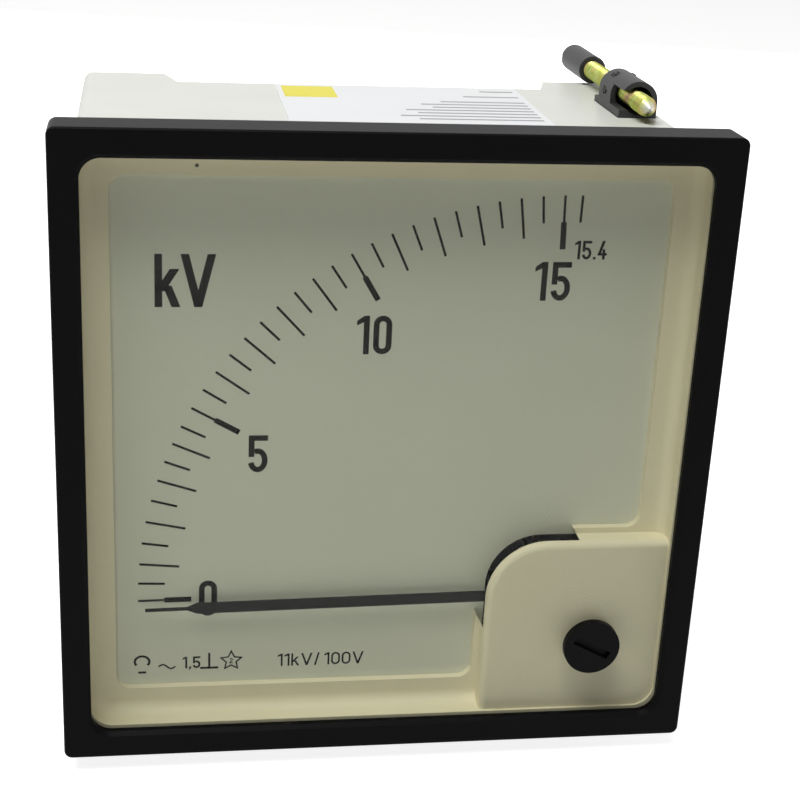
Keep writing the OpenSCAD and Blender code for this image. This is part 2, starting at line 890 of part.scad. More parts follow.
module moving_iron() {
    iron_front = bobbin_front + iron_margin;
    iron_rear = base_front - iron_margin;
    flag_r = iron_r - iron_t - iron_gap;
    arm_start = spindle_d / 2 + fixed_gap + collar_wall / 2;
    color([0.55, 0.56, 0.58])
        at_pivot() {
            slab(iron_front, iron_rear)
                ring_sector(flag_r - iron_t, flag_r, moving_iron_span[0], moving_iron_span[1]);
            for (y = [iron_front, iron_rear - iron_arm_len])
                slab(y, y + iron_arm_len) {
                    rotate(iron_arm_angle)
                        translate([arm_start, -iron_arm_w / 2])
                            square([flag_r - iron_t / 2 - arm_start, iron_arm_w]);
                    collar(collar_wall);
                }
        }
}

module damping_vane() {
    vane_r = chamber_r - chamber_wall - chamber_clear;
    vane_front = chamber_front + chamber_wall + chamber_clear;
    vane_rear = chamber_rear - chamber_wall - chamber_clear;
    vane_start = spindle_d / 2 + fixed_gap + collar_wall / 2;
    color([0.82, 0.83, 0.84])
        at_pivot()
            face_turn(vane_angle) {
                slab(vane_front, vane_rear) collar(collar_wall);
                translate([vane_start, vane_front, -vane_t / 2])
                    cube([vane_r - vane_start, vane_rear - vane_front, vane_t]);
            }
}

// ---------------------------------------------------------------- zero setting

// One edge of the flat spiral, offset sideways from its middle line
function spiral(side) = let(steps = 24 * spring_turns) [
    for (i = [0 : steps])
        let(a = 360 * spring_turns * i / steps, r = spring_inner_r
            + (spring_outer_r - spring_inner_r) * i / steps + side * spring_strip / 2)
            r * [cos(a), sin(a)]
];

module hairspring() {
    inner_edge = spiral(-1);
    outer_edge = spiral(1);
    last = len(inner_edge) - 1;
    color([0.72, 0.6, 0.3])
        at_pivot()
            slab(spring_front, spring_rear) {
                rotate(lever_tail_angle)
                    polygon(concat(outer_edge, [for (i = [last : -1 : 0]) inner_edge[i]]));
                difference() {
                    circle(spring_inner_r);
                    circle(d = spindle_d + 2 * fixed_gap);
                }
            }
}

// Sheet lever that turns on the front bearing's sleeve. Its fork takes the eccentric pin,
// and its tail holds the outer end of the hairspring.
module zero_lever() {
    ring_d = bearing_sleeve_d + 2 * lever_ring_wall;
    fork_half = eccentric_pin_d / 2 + fork_play;
    pin_r = adjuster_reach - eccentric;
    tail_r = spring_outer_r + spring_strip / 2;
    lever_rear = lever_front + lever_t;
    color([0.8, 0.68, 0.38])
        at_pivot() {
            slab(lever_front, lever_rear)
                difference() {
                    union() {
                        circle(d = ring_d);
                        rotate(adjuster_bearing)
                            translate([0, -fork_half - fork_wall])
                                square([pin_r + fork_tip, 2 * (fork_half + fork_wall)]);
                        rotate(lever_tail_angle)
                            translate([0, -lever_tail_w / 2])
                                square([tail_r + lever_tail_t, lever_tail_w]);
                    }
                    circle(d = bearing_sleeve_d + 2 * running);
                    rotate(adjuster_bearing)
                        translate([pin_r - fork_depth, -fork_half])
                            square([fork_depth + fork_tip + cut, 2 * fork_half]);
                }
            face_turn(lever_tail_angle)
                translate([tail_r, lever_rear - cut, -lever_tail_w / 2])
                    cube([lever_tail_t, spring_rear - lever_rear + cut, lever_tail_w]);
        }
}

module zero_adjuster() {
    head_front = window_front - 0.1 - adjuster_head_t;
    shaft_rear = hood_inside + 0.1;
    color([0.03, 0.03, 0.03])
        at_adjuster()
            difference() {
                union() {
                    bar(head_front, head_front + adjuster_head_t, adjuster_head_d);
                    bar(head_front + cut, shaft_rear, adjuster_shaft_d);
                    face_turn(adjuster_bearing)
                        translate([-eccentric, 0, 0])
                            bar(shaft_rear - cut, lever_front + lever_t + 0.2, eccentric_pin_d);
                }
                face_turn(slot_angle)
                    translate([-slot_len / 2, head_front - cut, -slot_w / 2])
                        cube([slot_len, slot_depth + cut, slot_w]);
            }
}

// ---------------------------------------------------------------- fixed movement

// A jewel screw with a blind cup for a pivot; the sleeve carries the zero lever
module front_bearing() {
    head_front = lever_front - 0.2 - bearing_head_t;
    color([0.8, 0.68, 0.38])
        at_pivot()
            difference() {
                union() {
                    bar(head_front, head_front + bearing_head_t, bearing_head_d);
                    bar(head_front + cut, bridge_front, bearing_sleeve_d);
                    bar(bridge_front - cut, bridge_rear + cut, bearing_screw_d);
                }
                bar(bridge_rear + cut - pivot_depth, bridge_rear + 1, spindle_pivot_d + 2 * running);
                translate([-bearing_head_d, head_front - cut, -bearing_slot_w / 2])
                    cube([2 * bearing_head_d, bearing_head_t / 2 + cut, bearing_slot_w]);
            }
}

module rear_bearing() {
    screw_rear = base_rear + 0.6;
    color([0.8, 0.68, 0.38])
        at_pivot()
            difference() {
                bar(base_front - cut, screw_rear, bearing_screw_d);
                bar(base_front - 2 * cut, base_front + cut + pivot_depth, spindle_pivot_d + 2 * running);
                translate([-bearing_screw_d, screw_rear - driver_slot_depth, -bearing_slot_w / 2])
                    cube([2 * bearing_screw_d, driver_slot_depth + cut, bearing_slot_w]);
            }
}

module at_pillars() {
    for (a = pillar_angles)
        at_pivot() face_turn(a) translate([pillar_reach, 0, 0]) children();
}

module front_bridge() {
    hole_d = bridge_screw_d + 2 * fixed_gap;
    color([0.78, 0.79, 0.8])
        difference() {
            slab(bridge_front, bridge_rear)
                translate([pivot_x, pivot_z])
                    difference() {
                        union() {
                            circle(d = bearing_screw_d + 4);
                            for (a = pillar_angles)
                                rotate(a) {
                                    translate([0, -bridge_w / 2]) square([pillar_reach, bridge_w]);
                                    translate([pillar_reach, 0]) circle(d = pillar_d + 0.9);
                                }
                        }
                        circle(d = bearing_screw_d + 2 * fixed_gap);
                    }
            at_pillars() {
                bar(bridge_front - cut, bridge_rear + cut, hole_d);
                cone(bridge_front - cut, bridge_front + countersink,
                     hole_d + 2 * (countersink + cut), hole_d);
            }
        }
}

module bridge_pillars() {
    color([0.8, 0.68, 0.38])
        at_pillars()
            difference() {
                bar(bridge_rear, base_front, pillar_d);
                bar(bridge_rear - cut, bridge_rear + bridge_screw_len, bridge_screw_d + 2 * fixed_gap);
            }
}

module bridge_screws() {
    head_d = bridge_screw_d + 2 * countersink;
    color([0.75, 0.76, 0.78])
        at_pillars()
            difference() {
                union() {
                    cone(bridge_front, bridge_front + countersink, head_d, bridge_screw_d);
                    bar(bridge_front + countersink / 2, bridge_front + bridge_screw_len, bridge_screw_d);
                }
                translate([-head_d, bridge_front - cut, -driver_slot_w / 2])
                    cube([2 * head_d, driver_slot_depth + cut, driver_slot_w]);
            }
}

module movement_base() {
    color([0.1, 0.1, 0.11])
        difference() {
            slab(base_front, base_rear)
                translate([pivot_x, pivot_z]) round_rect(base_w, base_w, base_corner_r);
            at_pivot() bar(base_front - cut, base_rear + cut, bearing_screw_d + 2 * fixed_gap);
            at_base_screws() bar(base_front - cut, base_rear + cut, base_screw_d + 2 * fixed_gap);
        }
}

module movement_screws() {
    color([0.75, 0.76, 0.78])
        at_base_screws()
            pan_screw(base_front, base_screw_d, base_t + screw_bite, base_screw_head_d, base_screw_head_t);
}

module coil_bobbin() {
    tube_d = bobbin_bore + 2 * bobbin_wall;
    color([0.2, 0.2, 0.2])
        at_pivot()
            difference() {
                union() {
                    bar(bobbin_front, base_front, tube_d);
                    bar(bobbin_front, bobbin_front + flange_t, flange_d);
                    bar(base_front - flange_t, base_front, flange_d);
                }
                bar(bobbin_front - cut, base_front + cut, bobbin_bore);
            }
}

module coil_winding() {
    color([0.72, 0.35, 0.12])
        at_pivot()
            difference() {
                bar(bobbin_front + flange_t, base_front - flange_t, coil_d);
                bar(bobbin_front, base_front, bobbin_bore + 2 * bobbin_wall + 2 * fixed_gap);
            }
}

// The repelling iron: a curved strip inside the bobbin
module fixed_iron() {
    color([0.55, 0.56, 0.58])
        at_pivot()
            slab(bobbin_front + iron_margin, base_front)
                ring_sector(iron_r - iron_t, iron_r, fixed_iron_span[0], fixed_iron_span[1]);
}

// Quarter box open toward the spindle and at the front, where its lid closes it
module damping_chamber() {
    inner = chamber_r - chamber_wall;
    first = chamber_span[0];
    last = chamber_span[1];
    color([0.15, 0.15, 0.16])
        at_pivot() {
            slab(chamber_rear - chamber_wall, chamber_rear) chamber_outline();
            slab(chamber_front + chamber_wall, chamber_rear - cut) {
                ring_sector(inner, chamber_r, first - chamber_side_angle, last + chamber_side_angle);
                ring_sector(chamber_eye_r, inner + cut, last, last + chamber_side_angle);
                ring_sector(chamber_eye_r, inner + cut, first - chamber_side_angle, first);
            }
        }
}

module chamber_outline() {
    ring_sector(chamber_eye_r, chamber_r, chamber_span[0] - chamber_side_angle,
                chamber_span[1] + chamber_side_angle);
}

module damping_cover() {
    color([0.82, 0.83, 0.84])
        at_pivot() slab(chamber_front, chamber_front + chamber_wall) chamber_outline();
}

// ---------------------------------------------------------------- electrics

module resistor_board() {
    color([0.72, 0.6, 0.36])
        difference() {
            translate([board_at[0] - board[0] / 2, board_at[1], board_at[2] - board[1] / 2])
                cube([board[0], board[2], board[1]]);
            at_board_screws()
                bar(board_at[1] - cut, board_at[1] + board[2] + cut, board_screw_d + 2 * fixed_gap);
        }
}

module board_screws() {
    color([0.75, 0.76, 0.78])
        at_board_screws()
            pan_screw(board_at[1], board_screw_d, board[2] + screw_bite,
                      base_screw_head_d, base_screw_head_t);
}

// Two resistors that stand on the board's front by their bent wires
module series_resistors() {
    axis_y = board_at[1] - resistor_d / 2 - resistor_gap;
    for (sz = [-1, 1])
        translate([board_at[0], axis_y, board_at[2] + sz * resistor_pitch / 2]) {
            color([0.35, 0.55, 0.45])
                translate([-resistor_len / 2, 0, 0])
                    rotate([0, 90, 0]) cylinder(h = resistor_len, d = resistor_d);
            color([0.8, 0.8, 0.8])
                for (sx = [-1, 1]) {
                    bend_x = sx * (resistor_len / 2 + resistor_lead_run);
                    wire([[sx * (resistor_len / 2 - 1), 0, 0], [bend_x, 0, 0],
                          [bend_x, board_at[1] - axis_y, 0]], lead_d);
                }
        }
}

module solder_tags() {
    color([0.8, 0.8, 0.78])
        at_terminals()
            slab(rear_inside - tag_t, rear_inside)
                difference() {
                    union() {
                        circle(d = tag_w);
                        translate([-tag_tail_w / 2, 0]) square([tag_tail_w, tag_w]);
                    }
                    circle(d = terminal_d + 2 * fixed_gap);
                }
}

// Wires from the tags to the board and to the coil
module lead_wires() {
    tag_y = rear_inside - tag_t - wire_d / 2;
    tag_z = tag_w - 1;
    left = -terminal_pitch / 2;
    right = terminal_pitch / 2;
    board_face = board_at[1] + board[2] + wire_d / 2;
    coil_z = pivot_z + flange_d / 2 + wire_d / 2;
    color([0.6, 0.12, 0.1]) {
        wire([[left, tag_y, tag_z], [left, tag_y - 2, tag_z + 4],
              [left, board_face, board_at[2] - 1]], wire_d);
        wire([[board_at[0] + 16, board_at[1] - wire_d / 2, board_at[2] - 10],
              [5, board_at[1] - 4, 0], [pivot_x - 6, base_front - 6, coil_z + 4],
              [pivot_x - 2, base_front - 3, coil_z]], wire_d);
        wire([[right, tag_y, tag_z], [right + 6, tag_y - 3, tag_z],
              [pivot_x + 4, base_front - 8, coil_z + 5], [pivot_x + 2, base_front - 3, coil_z]], wire_d);
    }
}

// ---------------------------------------------------------------- terminals

module terminal_studs() {
    head_rear = rear_inside - tag_t;
    color([0.78, 0.66, 0.36])
        at_terminals() {
            slab(head_rear - stud_head_t, head_rear) hexagon(terminal_af);
            bar(head_rear - cut, rear_wall + terminal_len, terminal_d);
        }
}

// A nut whose corners are turned down towards both faces
module terminal_nut(y, t) {
    turned_r = (terminal_af / 2) * nut_flat_to_corner + nut_chamfer_start;
    fall = (turned_r - terminal_af / 2 + nut_chamfer_start) * tan(nut_chamfer_angle);
    at_terminals()
        intersection() {
            slab(y, y + t)
                difference() {
                    hexagon(terminal_af);
                    circle(d = terminal_d + 2 * fixed_gap);
                }
            turned()
                polygon([
                    [0, y - cut], [terminal_af / 2 - nut_chamfer_start, y - cut],
                    [terminal_af / 2 - nut_chamfer_start, y], [turned_r, y + fall],
                    [turned_r, y + t - fall], [terminal_af / 2 - nut_chamfer_start, y + t],
                    [terminal_af / 2 - nut_chamfer_start, y + t + cut], [0, y + t + cut]
                ]);
        }
}

module terminal_fixing_nuts() {
    color([0.78, 0.66, 0.36]) terminal_nut(rear_wall, fixing_nut_t);
}

module terminal_washers() {
    color([0.78, 0.66, 0.36])
        at_terminals()
            slab(rear_wall + fixing_nut_t, rear_wall + fixing_nut_t + washer_t)
                difference() {
                    circle(d = washer_d);
                    circle(d = terminal_d + 2 * fixed_gap);
                }
}

module terminal_nuts() {
    color([0.78, 0.66, 0.36]) terminal_nut(rear_wall + fixing_nut_t + washer_t, outer_nut_t);
}

// ---------------------------------------------------------------- screw clamps

module at_clamp() {
    translate([clamp_x, 0, clamp_z]) children();
}

// Arched saddle that hooks into the case and holds the nut
module clamp_bracket() {
    rear = saddle_front + saddle_len;
    base_z = half_case - seat_depth;
    tunnel_d = saddle_w - 2 * tunnel_wall;
    color([0.06, 0.06, 0.06])
        difference() {
            union() {
                at_clamp() bar(saddle_front, rear, saddle_w);
                translate([clamp_x - saddle_w / 2, saddle_front, base_z])
                    cube([saddle_w, saddle_len, clamp_z - base_z]);
                translate([clamp_x - saddle_w / 2, saddle_front, base_z])
                    cube([saddle_w, saddle_len + foot_len, seat_depth + foot_t]);
                clamp_tongue(base_z);
            }
            at_clamp() {
                bar(saddle_front - cut, nut_front + cut, tunnel_d);
                bar(nut_front, rear + cut, stud_d + 2 * clear);
                slab(nut_front, nut_front + clamp_nut_t + fixed_gap)
                    hexagon(clamp_nut_af + 2 * fixed_gap);
            }
            // the side window beside the stud
            translate([clamp_x - saddle_w, saddle_front - cut, half_case + side_window_sill])
                cube([saddle_w - side_window_wall, side_window_len + cut,
                      clamp_height + side_window_top]);
        }
}

// T-shaped tongue that holds the saddle in the case's keyhole slot
module clamp_tongue(top_z) {
    foot_top = half_case - case_wall - fixed_gap;
    translate([clamp_x - tongue_w / 2, tongue_front, foot_top - tongue_foot_t])
        cube([tongue_w, tongue_len, top_z - foot_top + tongue_foot_t + cut]);
    translate([clamp_x - tongue_foot_w / 2, tongue_front, foot_top - tongue_foot_t])
        cube([tongue_foot_w, tongue_len, tongue_foot_t]);
}

module clamp_nut() {
    color([0.75, 0.76, 0.78])
        at_clamp()
            slab(nut_front + fixed_gap / 2, nut_front + fixed_gap / 2 + clamp_nut_t)
                difference() {
                    hexagon(clamp_nut_af);
                    circle(d = stud_d + 2 * running);
                }
}

module clamp_stud() {
    color([0.72, 0.68, 0.3])
        at_clamp() {
            cone(stud_front, stud_front + stud_tip_len, stud_tip_d, stud_root_d);
            bar(stud_front + stud_tip_len, stud_front + stud_len, stud_d);
        }
}

module clamp_knob() {
    bore_rear = stud_front + stud_len + 0.2;
    color([0.06, 0.06, 0.06])
        at_clamp()
            difference() {
                turned()
                    difference() {
                        union() {
                            translate([0, knob_front]) square([knob_d / 2, knob_len - knob_edge]);
                            translate([0, knob_front]) square([knob_d / 2 - knob_edge, knob_len]);
                            translate([knob_d / 2 - knob_edge, knob_rear - knob_edge])
                                circle(knob_edge);
                        }
                        translate([-knob_d, knob_front - 1]) square([knob_d, knob_len + 2]);
                    }
                bar(knob_front - cut, bore_rear, stud_d + 2 * running);
                translate([-knob_d, knob_rear - knob_slot_depth, -knob_slot_w / 2])
                    cube([2 * knob_d, knob_slot_depth + cut, knob_slot_w]);
            }
}

// The second clamp lies diagonally opposite the first
module opposite() {
    rotate([0, 180, 0]) children();
}

bezel_frame();
front_window();
dial_mask();
dial_plate();
case_shell();
rating_label();
pointer();
pointer_hub();
balance_weights();
spindle();
moving_iron();
damping_vane();
hairspring();
zero_lever();
zero_adjuster();
front_bearing();
rear_bearing();
front_bridge();
bridge_pillars();
bridge_screws();
movement_base();
movement_screws();
coil_bobbin();
coil_winding();
fixed_iron();
damping_chamber();
damping_cover();
series_resistors();
resistor_board();
board_screws();
lead_wires();
solder_tags();
terminal_studs();
terminal_fixing_nuts();
terminal_washers();
terminal_nuts();
clamp_bracket();  // top_clamp_bracket
clamp_nut();  // top_clamp_nut
clamp_stud();  // top_clamp_stud
clamp_knob();  // top_clamp_knob
opposite() clamp_bracket();  // bottom_clamp_bracket
opposite() clamp_nut();  // bottom_clamp_nut
opposite() clamp_stud();  // bottom_clamp_stud
opposite() clamp_knob();  // bottom_clamp_knob
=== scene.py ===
"""Looks of a square panel meter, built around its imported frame.

The frame holds every piece at its real size. This script dresses those pieces, prints the
dial and the label, cuts the screw threads and sets up the studio. X runs to the right, Y into
the panel and Z up. Names that end in _mm are millimetres, and all other lengths are metres.
"""

from __future__ import annotations

import json
import logging
import math
from dataclasses import dataclass, field, replace
from enum import Enum
from typing import Iterable, Sequence

import bmesh
import bpy
from mathutils import Matrix, Vector


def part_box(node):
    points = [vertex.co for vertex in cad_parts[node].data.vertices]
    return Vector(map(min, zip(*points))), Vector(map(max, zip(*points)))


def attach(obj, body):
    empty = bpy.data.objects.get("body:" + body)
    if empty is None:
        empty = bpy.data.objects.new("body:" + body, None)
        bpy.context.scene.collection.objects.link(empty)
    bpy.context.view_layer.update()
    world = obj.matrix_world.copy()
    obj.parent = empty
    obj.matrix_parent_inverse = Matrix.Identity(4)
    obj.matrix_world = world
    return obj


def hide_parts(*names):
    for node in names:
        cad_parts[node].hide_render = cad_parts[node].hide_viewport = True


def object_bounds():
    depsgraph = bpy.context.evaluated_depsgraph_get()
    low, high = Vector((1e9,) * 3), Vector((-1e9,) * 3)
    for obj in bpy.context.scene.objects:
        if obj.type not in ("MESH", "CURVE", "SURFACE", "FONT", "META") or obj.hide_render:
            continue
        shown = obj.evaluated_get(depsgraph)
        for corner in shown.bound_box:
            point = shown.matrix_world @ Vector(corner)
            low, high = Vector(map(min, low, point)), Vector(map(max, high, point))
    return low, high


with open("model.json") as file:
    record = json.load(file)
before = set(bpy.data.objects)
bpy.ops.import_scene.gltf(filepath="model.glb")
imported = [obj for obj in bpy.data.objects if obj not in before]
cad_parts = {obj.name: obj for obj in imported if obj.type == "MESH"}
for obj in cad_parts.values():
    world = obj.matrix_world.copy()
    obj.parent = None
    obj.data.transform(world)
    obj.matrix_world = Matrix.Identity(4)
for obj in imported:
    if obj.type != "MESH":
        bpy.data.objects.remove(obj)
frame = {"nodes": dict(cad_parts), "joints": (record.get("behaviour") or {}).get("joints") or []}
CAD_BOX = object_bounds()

LOG = logging.getLogger("panel_meter")
MM = 0.001
MIX_A, MIX_B, MIX_OUT = 6, 7, 2  # the colour sockets of a Mix node
PRINT_LIFT_MM = 0.004  # clear of the face it lies on, so that the two never flicker
FLOOR_GAP = 0.0002
SMOOTH_DEG = 35.0
Outline = list[tuple[float, float]]
Tree = bpy.types.NodeTree
Socket = bpy.types.NodeSocket


# ------------------------------------------------------------------ shader helpers


def linear(colour: str) -> tuple[float, float, float, float]:
    """Turns an sRGB hex colour into linear light.

    Args:
        colour: Six hex digits after a hash.

    Returns:
        Red, green, blue and an alpha of one.
    """
    parts = [int(colour[i:i + 2], 16) / 255 for i in (1, 3, 5)]
    lit = [c / 12.92 if c <= 0.04045 else ((c + 0.055) / 1.055) ** 2.4 for c in parts]
    return (lit[0], lit[1], lit[2], 1.0)


def add(tree: Tree, kind: str, inputs: dict | None = None, **settings: object) -> bpy.types.Node:
    """Adds a shader node.

    Args:
        tree: The tree that takes the node.
        kind: The node's type without its ShaderNode prefix.
        inputs: What goes into its inputs, by name or place: a value or another node's output.
        settings: Properties of the node itself.

    Returns:
        The new node.
    """
    node = tree.nodes.new("ShaderNode" + kind)
    for name, value in settings.items():
        setattr(node, name, value)
    for place, value in (inputs or {}).items():
        if isinstance(value, Socket):
            tree.links.new(value, node.inputs[place])
        else:
            node.inputs[place].default_value = value
    return node


def per_mm(size_mm: float) -> float:
    """Pattern scale that gives features of this size."""
    return 1 / (size_mm * MM)


class Lay(Enum):
    """Direction in which a surface was worked, as a stretch of its pattern along X, Y and Z."""

    NONE = (1.0, 1.0, 1.0)
    ALONG_X = (0.06, 1.0, 1.0)
    ALONG_Z = (1.0, 1.0, 0.06)
    ROUND_Y = (0.05, 1.0, 0.05)


@dataclass(frozen=True)
class Finish:
    """A surface with a body colour, a slow drift of tone, a fine grain and softened edges."""

    name: str
    colour: str
    tone: str
    roughness: float
    grain_mm: float
    relief_mm: float
    drift_mm: float = 12.0
    metallic: float = 0.0
    ior: float = 1.5
    specular: float = 0.5
    spread: float = 0.06
    edge_mm: float = 0.12
    lay: Lay = Lay.NONE

    def material(self) -> bpy.types.Material:
        """The finished material, made once."""
        return bpy.data.materials.get(self.name) or self._build()

    def _build(self) -> bpy.types.Material:
        """Makes the material's nodes."""
        made = bpy.data.materials.new(self.name)
        made.use_nodes = True
        tree = made.node_tree
        tree.nodes.clear()
        place = add(tree, "TexCoord").outputs["Object"]
        grain = add(tree, "VectorMath", {0: place, 1: self.lay.value}, operation="MULTIPLY").outputs[0]
        drift = add(tree, "TexNoise", {"Vector": place, "Scale": per_mm(self.drift_mm), "Detail": 4.0})
        fine = add(tree, "TexNoise", {"Vector": grain, "Scale": per_mm(self.grain_mm), "Detail": 3.0})
        colour = add(tree, "Mix", {0: drift.outputs["Fac"], MIX_A: linear(self.colour),
                                   MIX_B: linear(self.tone)}, data_type="RGBA").outputs[MIX_OUT]
        rough = add(tree, "MapRange", {"Value": fine.outputs["Fac"], "From Min": 0.3, "From Max": 0.7,
                                       "To Min": self.roughness - self.spread,
                                       "To Max": self.roughness + self.spread}).outputs[0]
        height = fine.outputs["Fac"]
        colour, rough, height = self.details(tree, place, colour, rough, height)
        soft = add(tree, "Bevel", {"Radius": self.edge_mm * MM}, samples=4).outputs[0]
        bump = add(tree, "Bump", {"Height": height, "Distance": self.relief_mm * MM, "Strength": 1.0,
                                  "Normal": soft}).outputs[0]
        shader = add(tree, "BsdfPrincipled", {"Base Color": colour, "Roughness": rough, "Normal": bump,
                                              "Metallic": self.metallic, "IOR": self.ior,
                                              "Specular IOR Level": self.specular})
        add(tree, "OutputMaterial", {"Surface": self.surface(tree, shader.outputs[0])})
        return made

    def details(self, tree: Tree, place: Socket, colour: Socket, rough: Socket,
                height: Socket) -> tuple[Socket, Socket, Socket]:
        """Adds what sets this finish apart. Returns the colour, the roughness and the height."""
        return colour, rough, height

    def surface(self, tree: Tree, shader: Socket) -> Socket:
        """The shader that reaches the output."""
        return shader


@dataclass(frozen=True)
class DustyPlastic(Finish):
    """A dark moulding with a few specks of pale dust on it."""

    dust: str = "#c9c9c4"
    dust_mm: float = 0.16
    dust_every_mm: float = 9.0

    def details(self, tree: Tree, place: Socket, colour: Socket, rough: Socket,
                height: Socket) -> tuple[Socket, Socket, Socket]:
        """Scatters specks at the points of a cell pattern, in one cell out of three."""
        cells = add(tree, "TexVoronoi", {"Vector": place, "Scale": per_mm(self.dust_every_mm)})
        speck = add(tree, "Math", {0: cells.outputs["Distance"],
                                   1: self.dust_mm / self.dust_every_mm / 2}, operation="LESS_THAN")
        red = add(tree, "SeparateColor", {0: cells.outputs["Color"]}).outputs[0]
        chosen = add(tree, "Math", {0: red, 1: 0.35}, operation="LESS_THAN")
        both = add(tree, "Math", {0: speck.outputs[0], 1: chosen.outputs[0]}, operation="MULTIPLY")
        colour = add(tree, "Mix", {0: both.outputs[0], MIX_A: colour, MIX_B: linear(self.dust)},
                     data_type="RGBA").outputs[MIX_OUT]
        return colour, rough, height


@dataclass(frozen=True)
class MarkedPlastic(Finish):
    """A pale moulding with one dark fleck, moulded in at a known place."""

    mark: str = "#3d3527"
    mark_at_mm: tuple[float, float, float] = (0.0, 0.0, 0.0)
    mark_mm: float = 0.35

    def details(self, tree: Tree, place: Socket, colour: Socket, rough: Socket,
                height: Socket) -> tuple[Socket, Socket, Socket]:
        """Darkens the fleck's place."""
        centre = tuple(c * MM for c in self.mark_at_mm)
        away = add(tree, "VectorMath", {0: place, 1: centre}, operation="DISTANCE").outputs["Value"]
        share = add(tree, "MapRange", {"Value": away, "From Min": self.mark_mm * MM / 2,
                                       "From Max": self.mark_mm * MM, "To Min": 1.0, "To Max": 0.0})
        colour = add(tree, "Mix", {0: share.outputs[0], MIX_A: colour, MIX_B: linear(self.mark)},
                     data_type="RGBA").outputs[MIX_OUT]
        return colour, rough, height


@dataclass(frozen=True)
class Passivate(Finish):
    """Zinc plate under a yellow chromate film, whose colour shifts with its thickness."""

    bands: tuple[str, ...] = ()
    band_mm: float = 3.5
    bare_from: float = 0.0
    bare_to: float = 0.0
    bare: str = "#cfd0c8"

    def details(self, tree: Tree, place: Socket, colour: Socket, rough: Socket,
                height: Socket) -> tuple[Socket, Socket, Socket]:
        """Runs the film's colours along the bar, and bares the metal at its worn point."""
        film = add(tree, "TexNoise", {"Vector": place, "Scale": per_mm(self.band_mm), "Detail": 5.0})
        ramp = add(tree, "ValToRGB", {0: film.outputs["Fac"]})
        stops = ramp.color_ramp.elements
        for i, band in enumerate(self.bands):
            stop = stops[i] if i < len(stops) else stops.new(1.0)
            stop.position = 0.3 + 0.4 * i / (len(self.bands) - 1)
            stop.color = linear(band)
        depth = add(tree, "SeparateXYZ", {0: place}).outputs["Y"]
        worn = add(tree, "MapRange", {"Value": depth, "From Min": self.bare_from,
                                      "From Max": self.bare_to, "To Min": 1.0, "To Max": 0.0})
        colour = add(tree, "Mix", {0: worn.outputs[0], MIX_A: ramp.outputs[0], MIX_B: linear(self.bare)},
                     data_type="RGBA").outputs[MIX_OUT]
        return colour, rough, height


@dataclass(frozen=True)
class Wound(Finish):
    """Enamelled wire, wound in close layers along the depth, with painted shade in the grooves between the
    turns.
    """

    wire_mm: float = 0.35

    def details(self, tree: Tree, place: Socket, colour: Socket, rough: Socket,
                height: Socket) -> tuple[Socket, Socket, Socket]:
        """Turns the grain into the rounds of the wire, a little uneven from turn to turn, and paints shade
        into the grooves with the darker tone.
        """
        turns = add(tree, "TexWave", {"Vector": place, "Scale": per_mm(self.wire_mm) / 20,
                                      "Distortion": 0.6, "Detail": 1.0}, bands_direction="Y").outputs["Fac"]
        # painted shade: the low ground between the turns takes the darker tone
        dark = add(tree, "Mix", {0: turns, MIX_A: linear(self.tone), MIX_B: colour}, data_type="RGBA")
        return dark.outputs[MIX_OUT], rough, turns


@dataclass(frozen=True)
class Banded(Finish):
    """A dipped resistor: enamel with painted rings, and tinned wires past its ends."""

    rings: tuple[str, ...] = ()
    middle_x: float = 0.0
    half_length: float = 0.008
    wire: str = "#b9b9b4"

    def details(self, tree: Tree, place: Socket, colour: Socket, rough: Socket,
                height: Socket) -> tuple[Socket, Socket, Socket]:
        """Places the rings along X from one end, and the wires beyond both ends."""
        along = add(tree, "SeparateXYZ", {0: place}).outputs["X"]
        offset = add(tree, "Math", {0: along, 1: self.middle_x}, operation="SUBTRACT").outputs[0]
        for i, ring in enumerate(self.rings):
            from_ring = add(tree, "Math", {0: offset, 1: (-0.55 + 0.32 * i) * self.half_length},
                            operation="SUBTRACT").outputs[0]
            near = add(tree, "Math", {0: add(tree, "Math", {0: from_ring}, operation="ABSOLUTE").outputs[0],
                                      1: 0.08 * self.half_length}, operation="LESS_THAN").outputs[0]
            colour = add(tree, "Mix", {0: near, MIX_A: colour, MIX_B: linear(ring)},
                         data_type="RGBA").outputs[MIX_OUT]
        far = add(tree, "Math", {0: add(tree, "Math", {0: offset}, operation="ABSOLUTE").outputs[0],
                                 1: self.half_length}, operation="GREATER_THAN").outputs[0]
        colour = add(tree, "Mix", {0: far, MIX_A: colour, MIX_B: linear(self.wire)},
                     data_type="RGBA").outputs[MIX_OUT]
        return colour, rough, height


@dataclass(frozen=True)
class ClearAcrylic(Finish):
    """A clear pane with little glare. Lamps shine straight through it, so that the dial is lit."""

    glare: str = "#666666"

    def _build(self) -> bpy.types.Material:
        """Makes clear plastic with a faint haze, and lets shadow and diffuse rays pass."""
        made = bpy.data.materials.new(self.name)
        made.use_nodes = True
        tree = made.node_tree
        tree.nodes.clear()
        place = add(tree, "TexCoord").outputs["Object"]
        haze = add(tree, "TexNoise", {"Vector": place, "Scale": per_mm(self.drift_mm), "Detail": 5.0})
        rough = add(tree, "MapRange", {"Value": haze.outputs["Fac"], "To Min": 0.0,
                                       "To Max": 2 * self.roughness}).outputs[0]
        pane = add(tree, "BsdfPrincipled", {"Base Color": linear(self.colour), "Roughness": rough,
                                            "IOR": self.ior, "Transmission Weight": 1.0,
                                            "Specular Tint": linear(self.glare)})
        clear = add(tree, "BsdfTransparent", {"Color": linear(self.tone)})
        path = add(tree, "LightPath")
        passes = add(tree, "Math", {0: path.outputs["Is Shadow Ray"], 1: path.outputs["Is Diffuse Ray"]},
                     operation="MAXIMUM")
        both = add(tree, "MixShader", {0: passes.outputs[0], 1: pane.outputs[0], 2: clear.outputs[0]})
        add(tree, "OutputMaterial", {"Surface": both.outputs[0]})
        return made


# ------------------------------------------------------------------ finishes

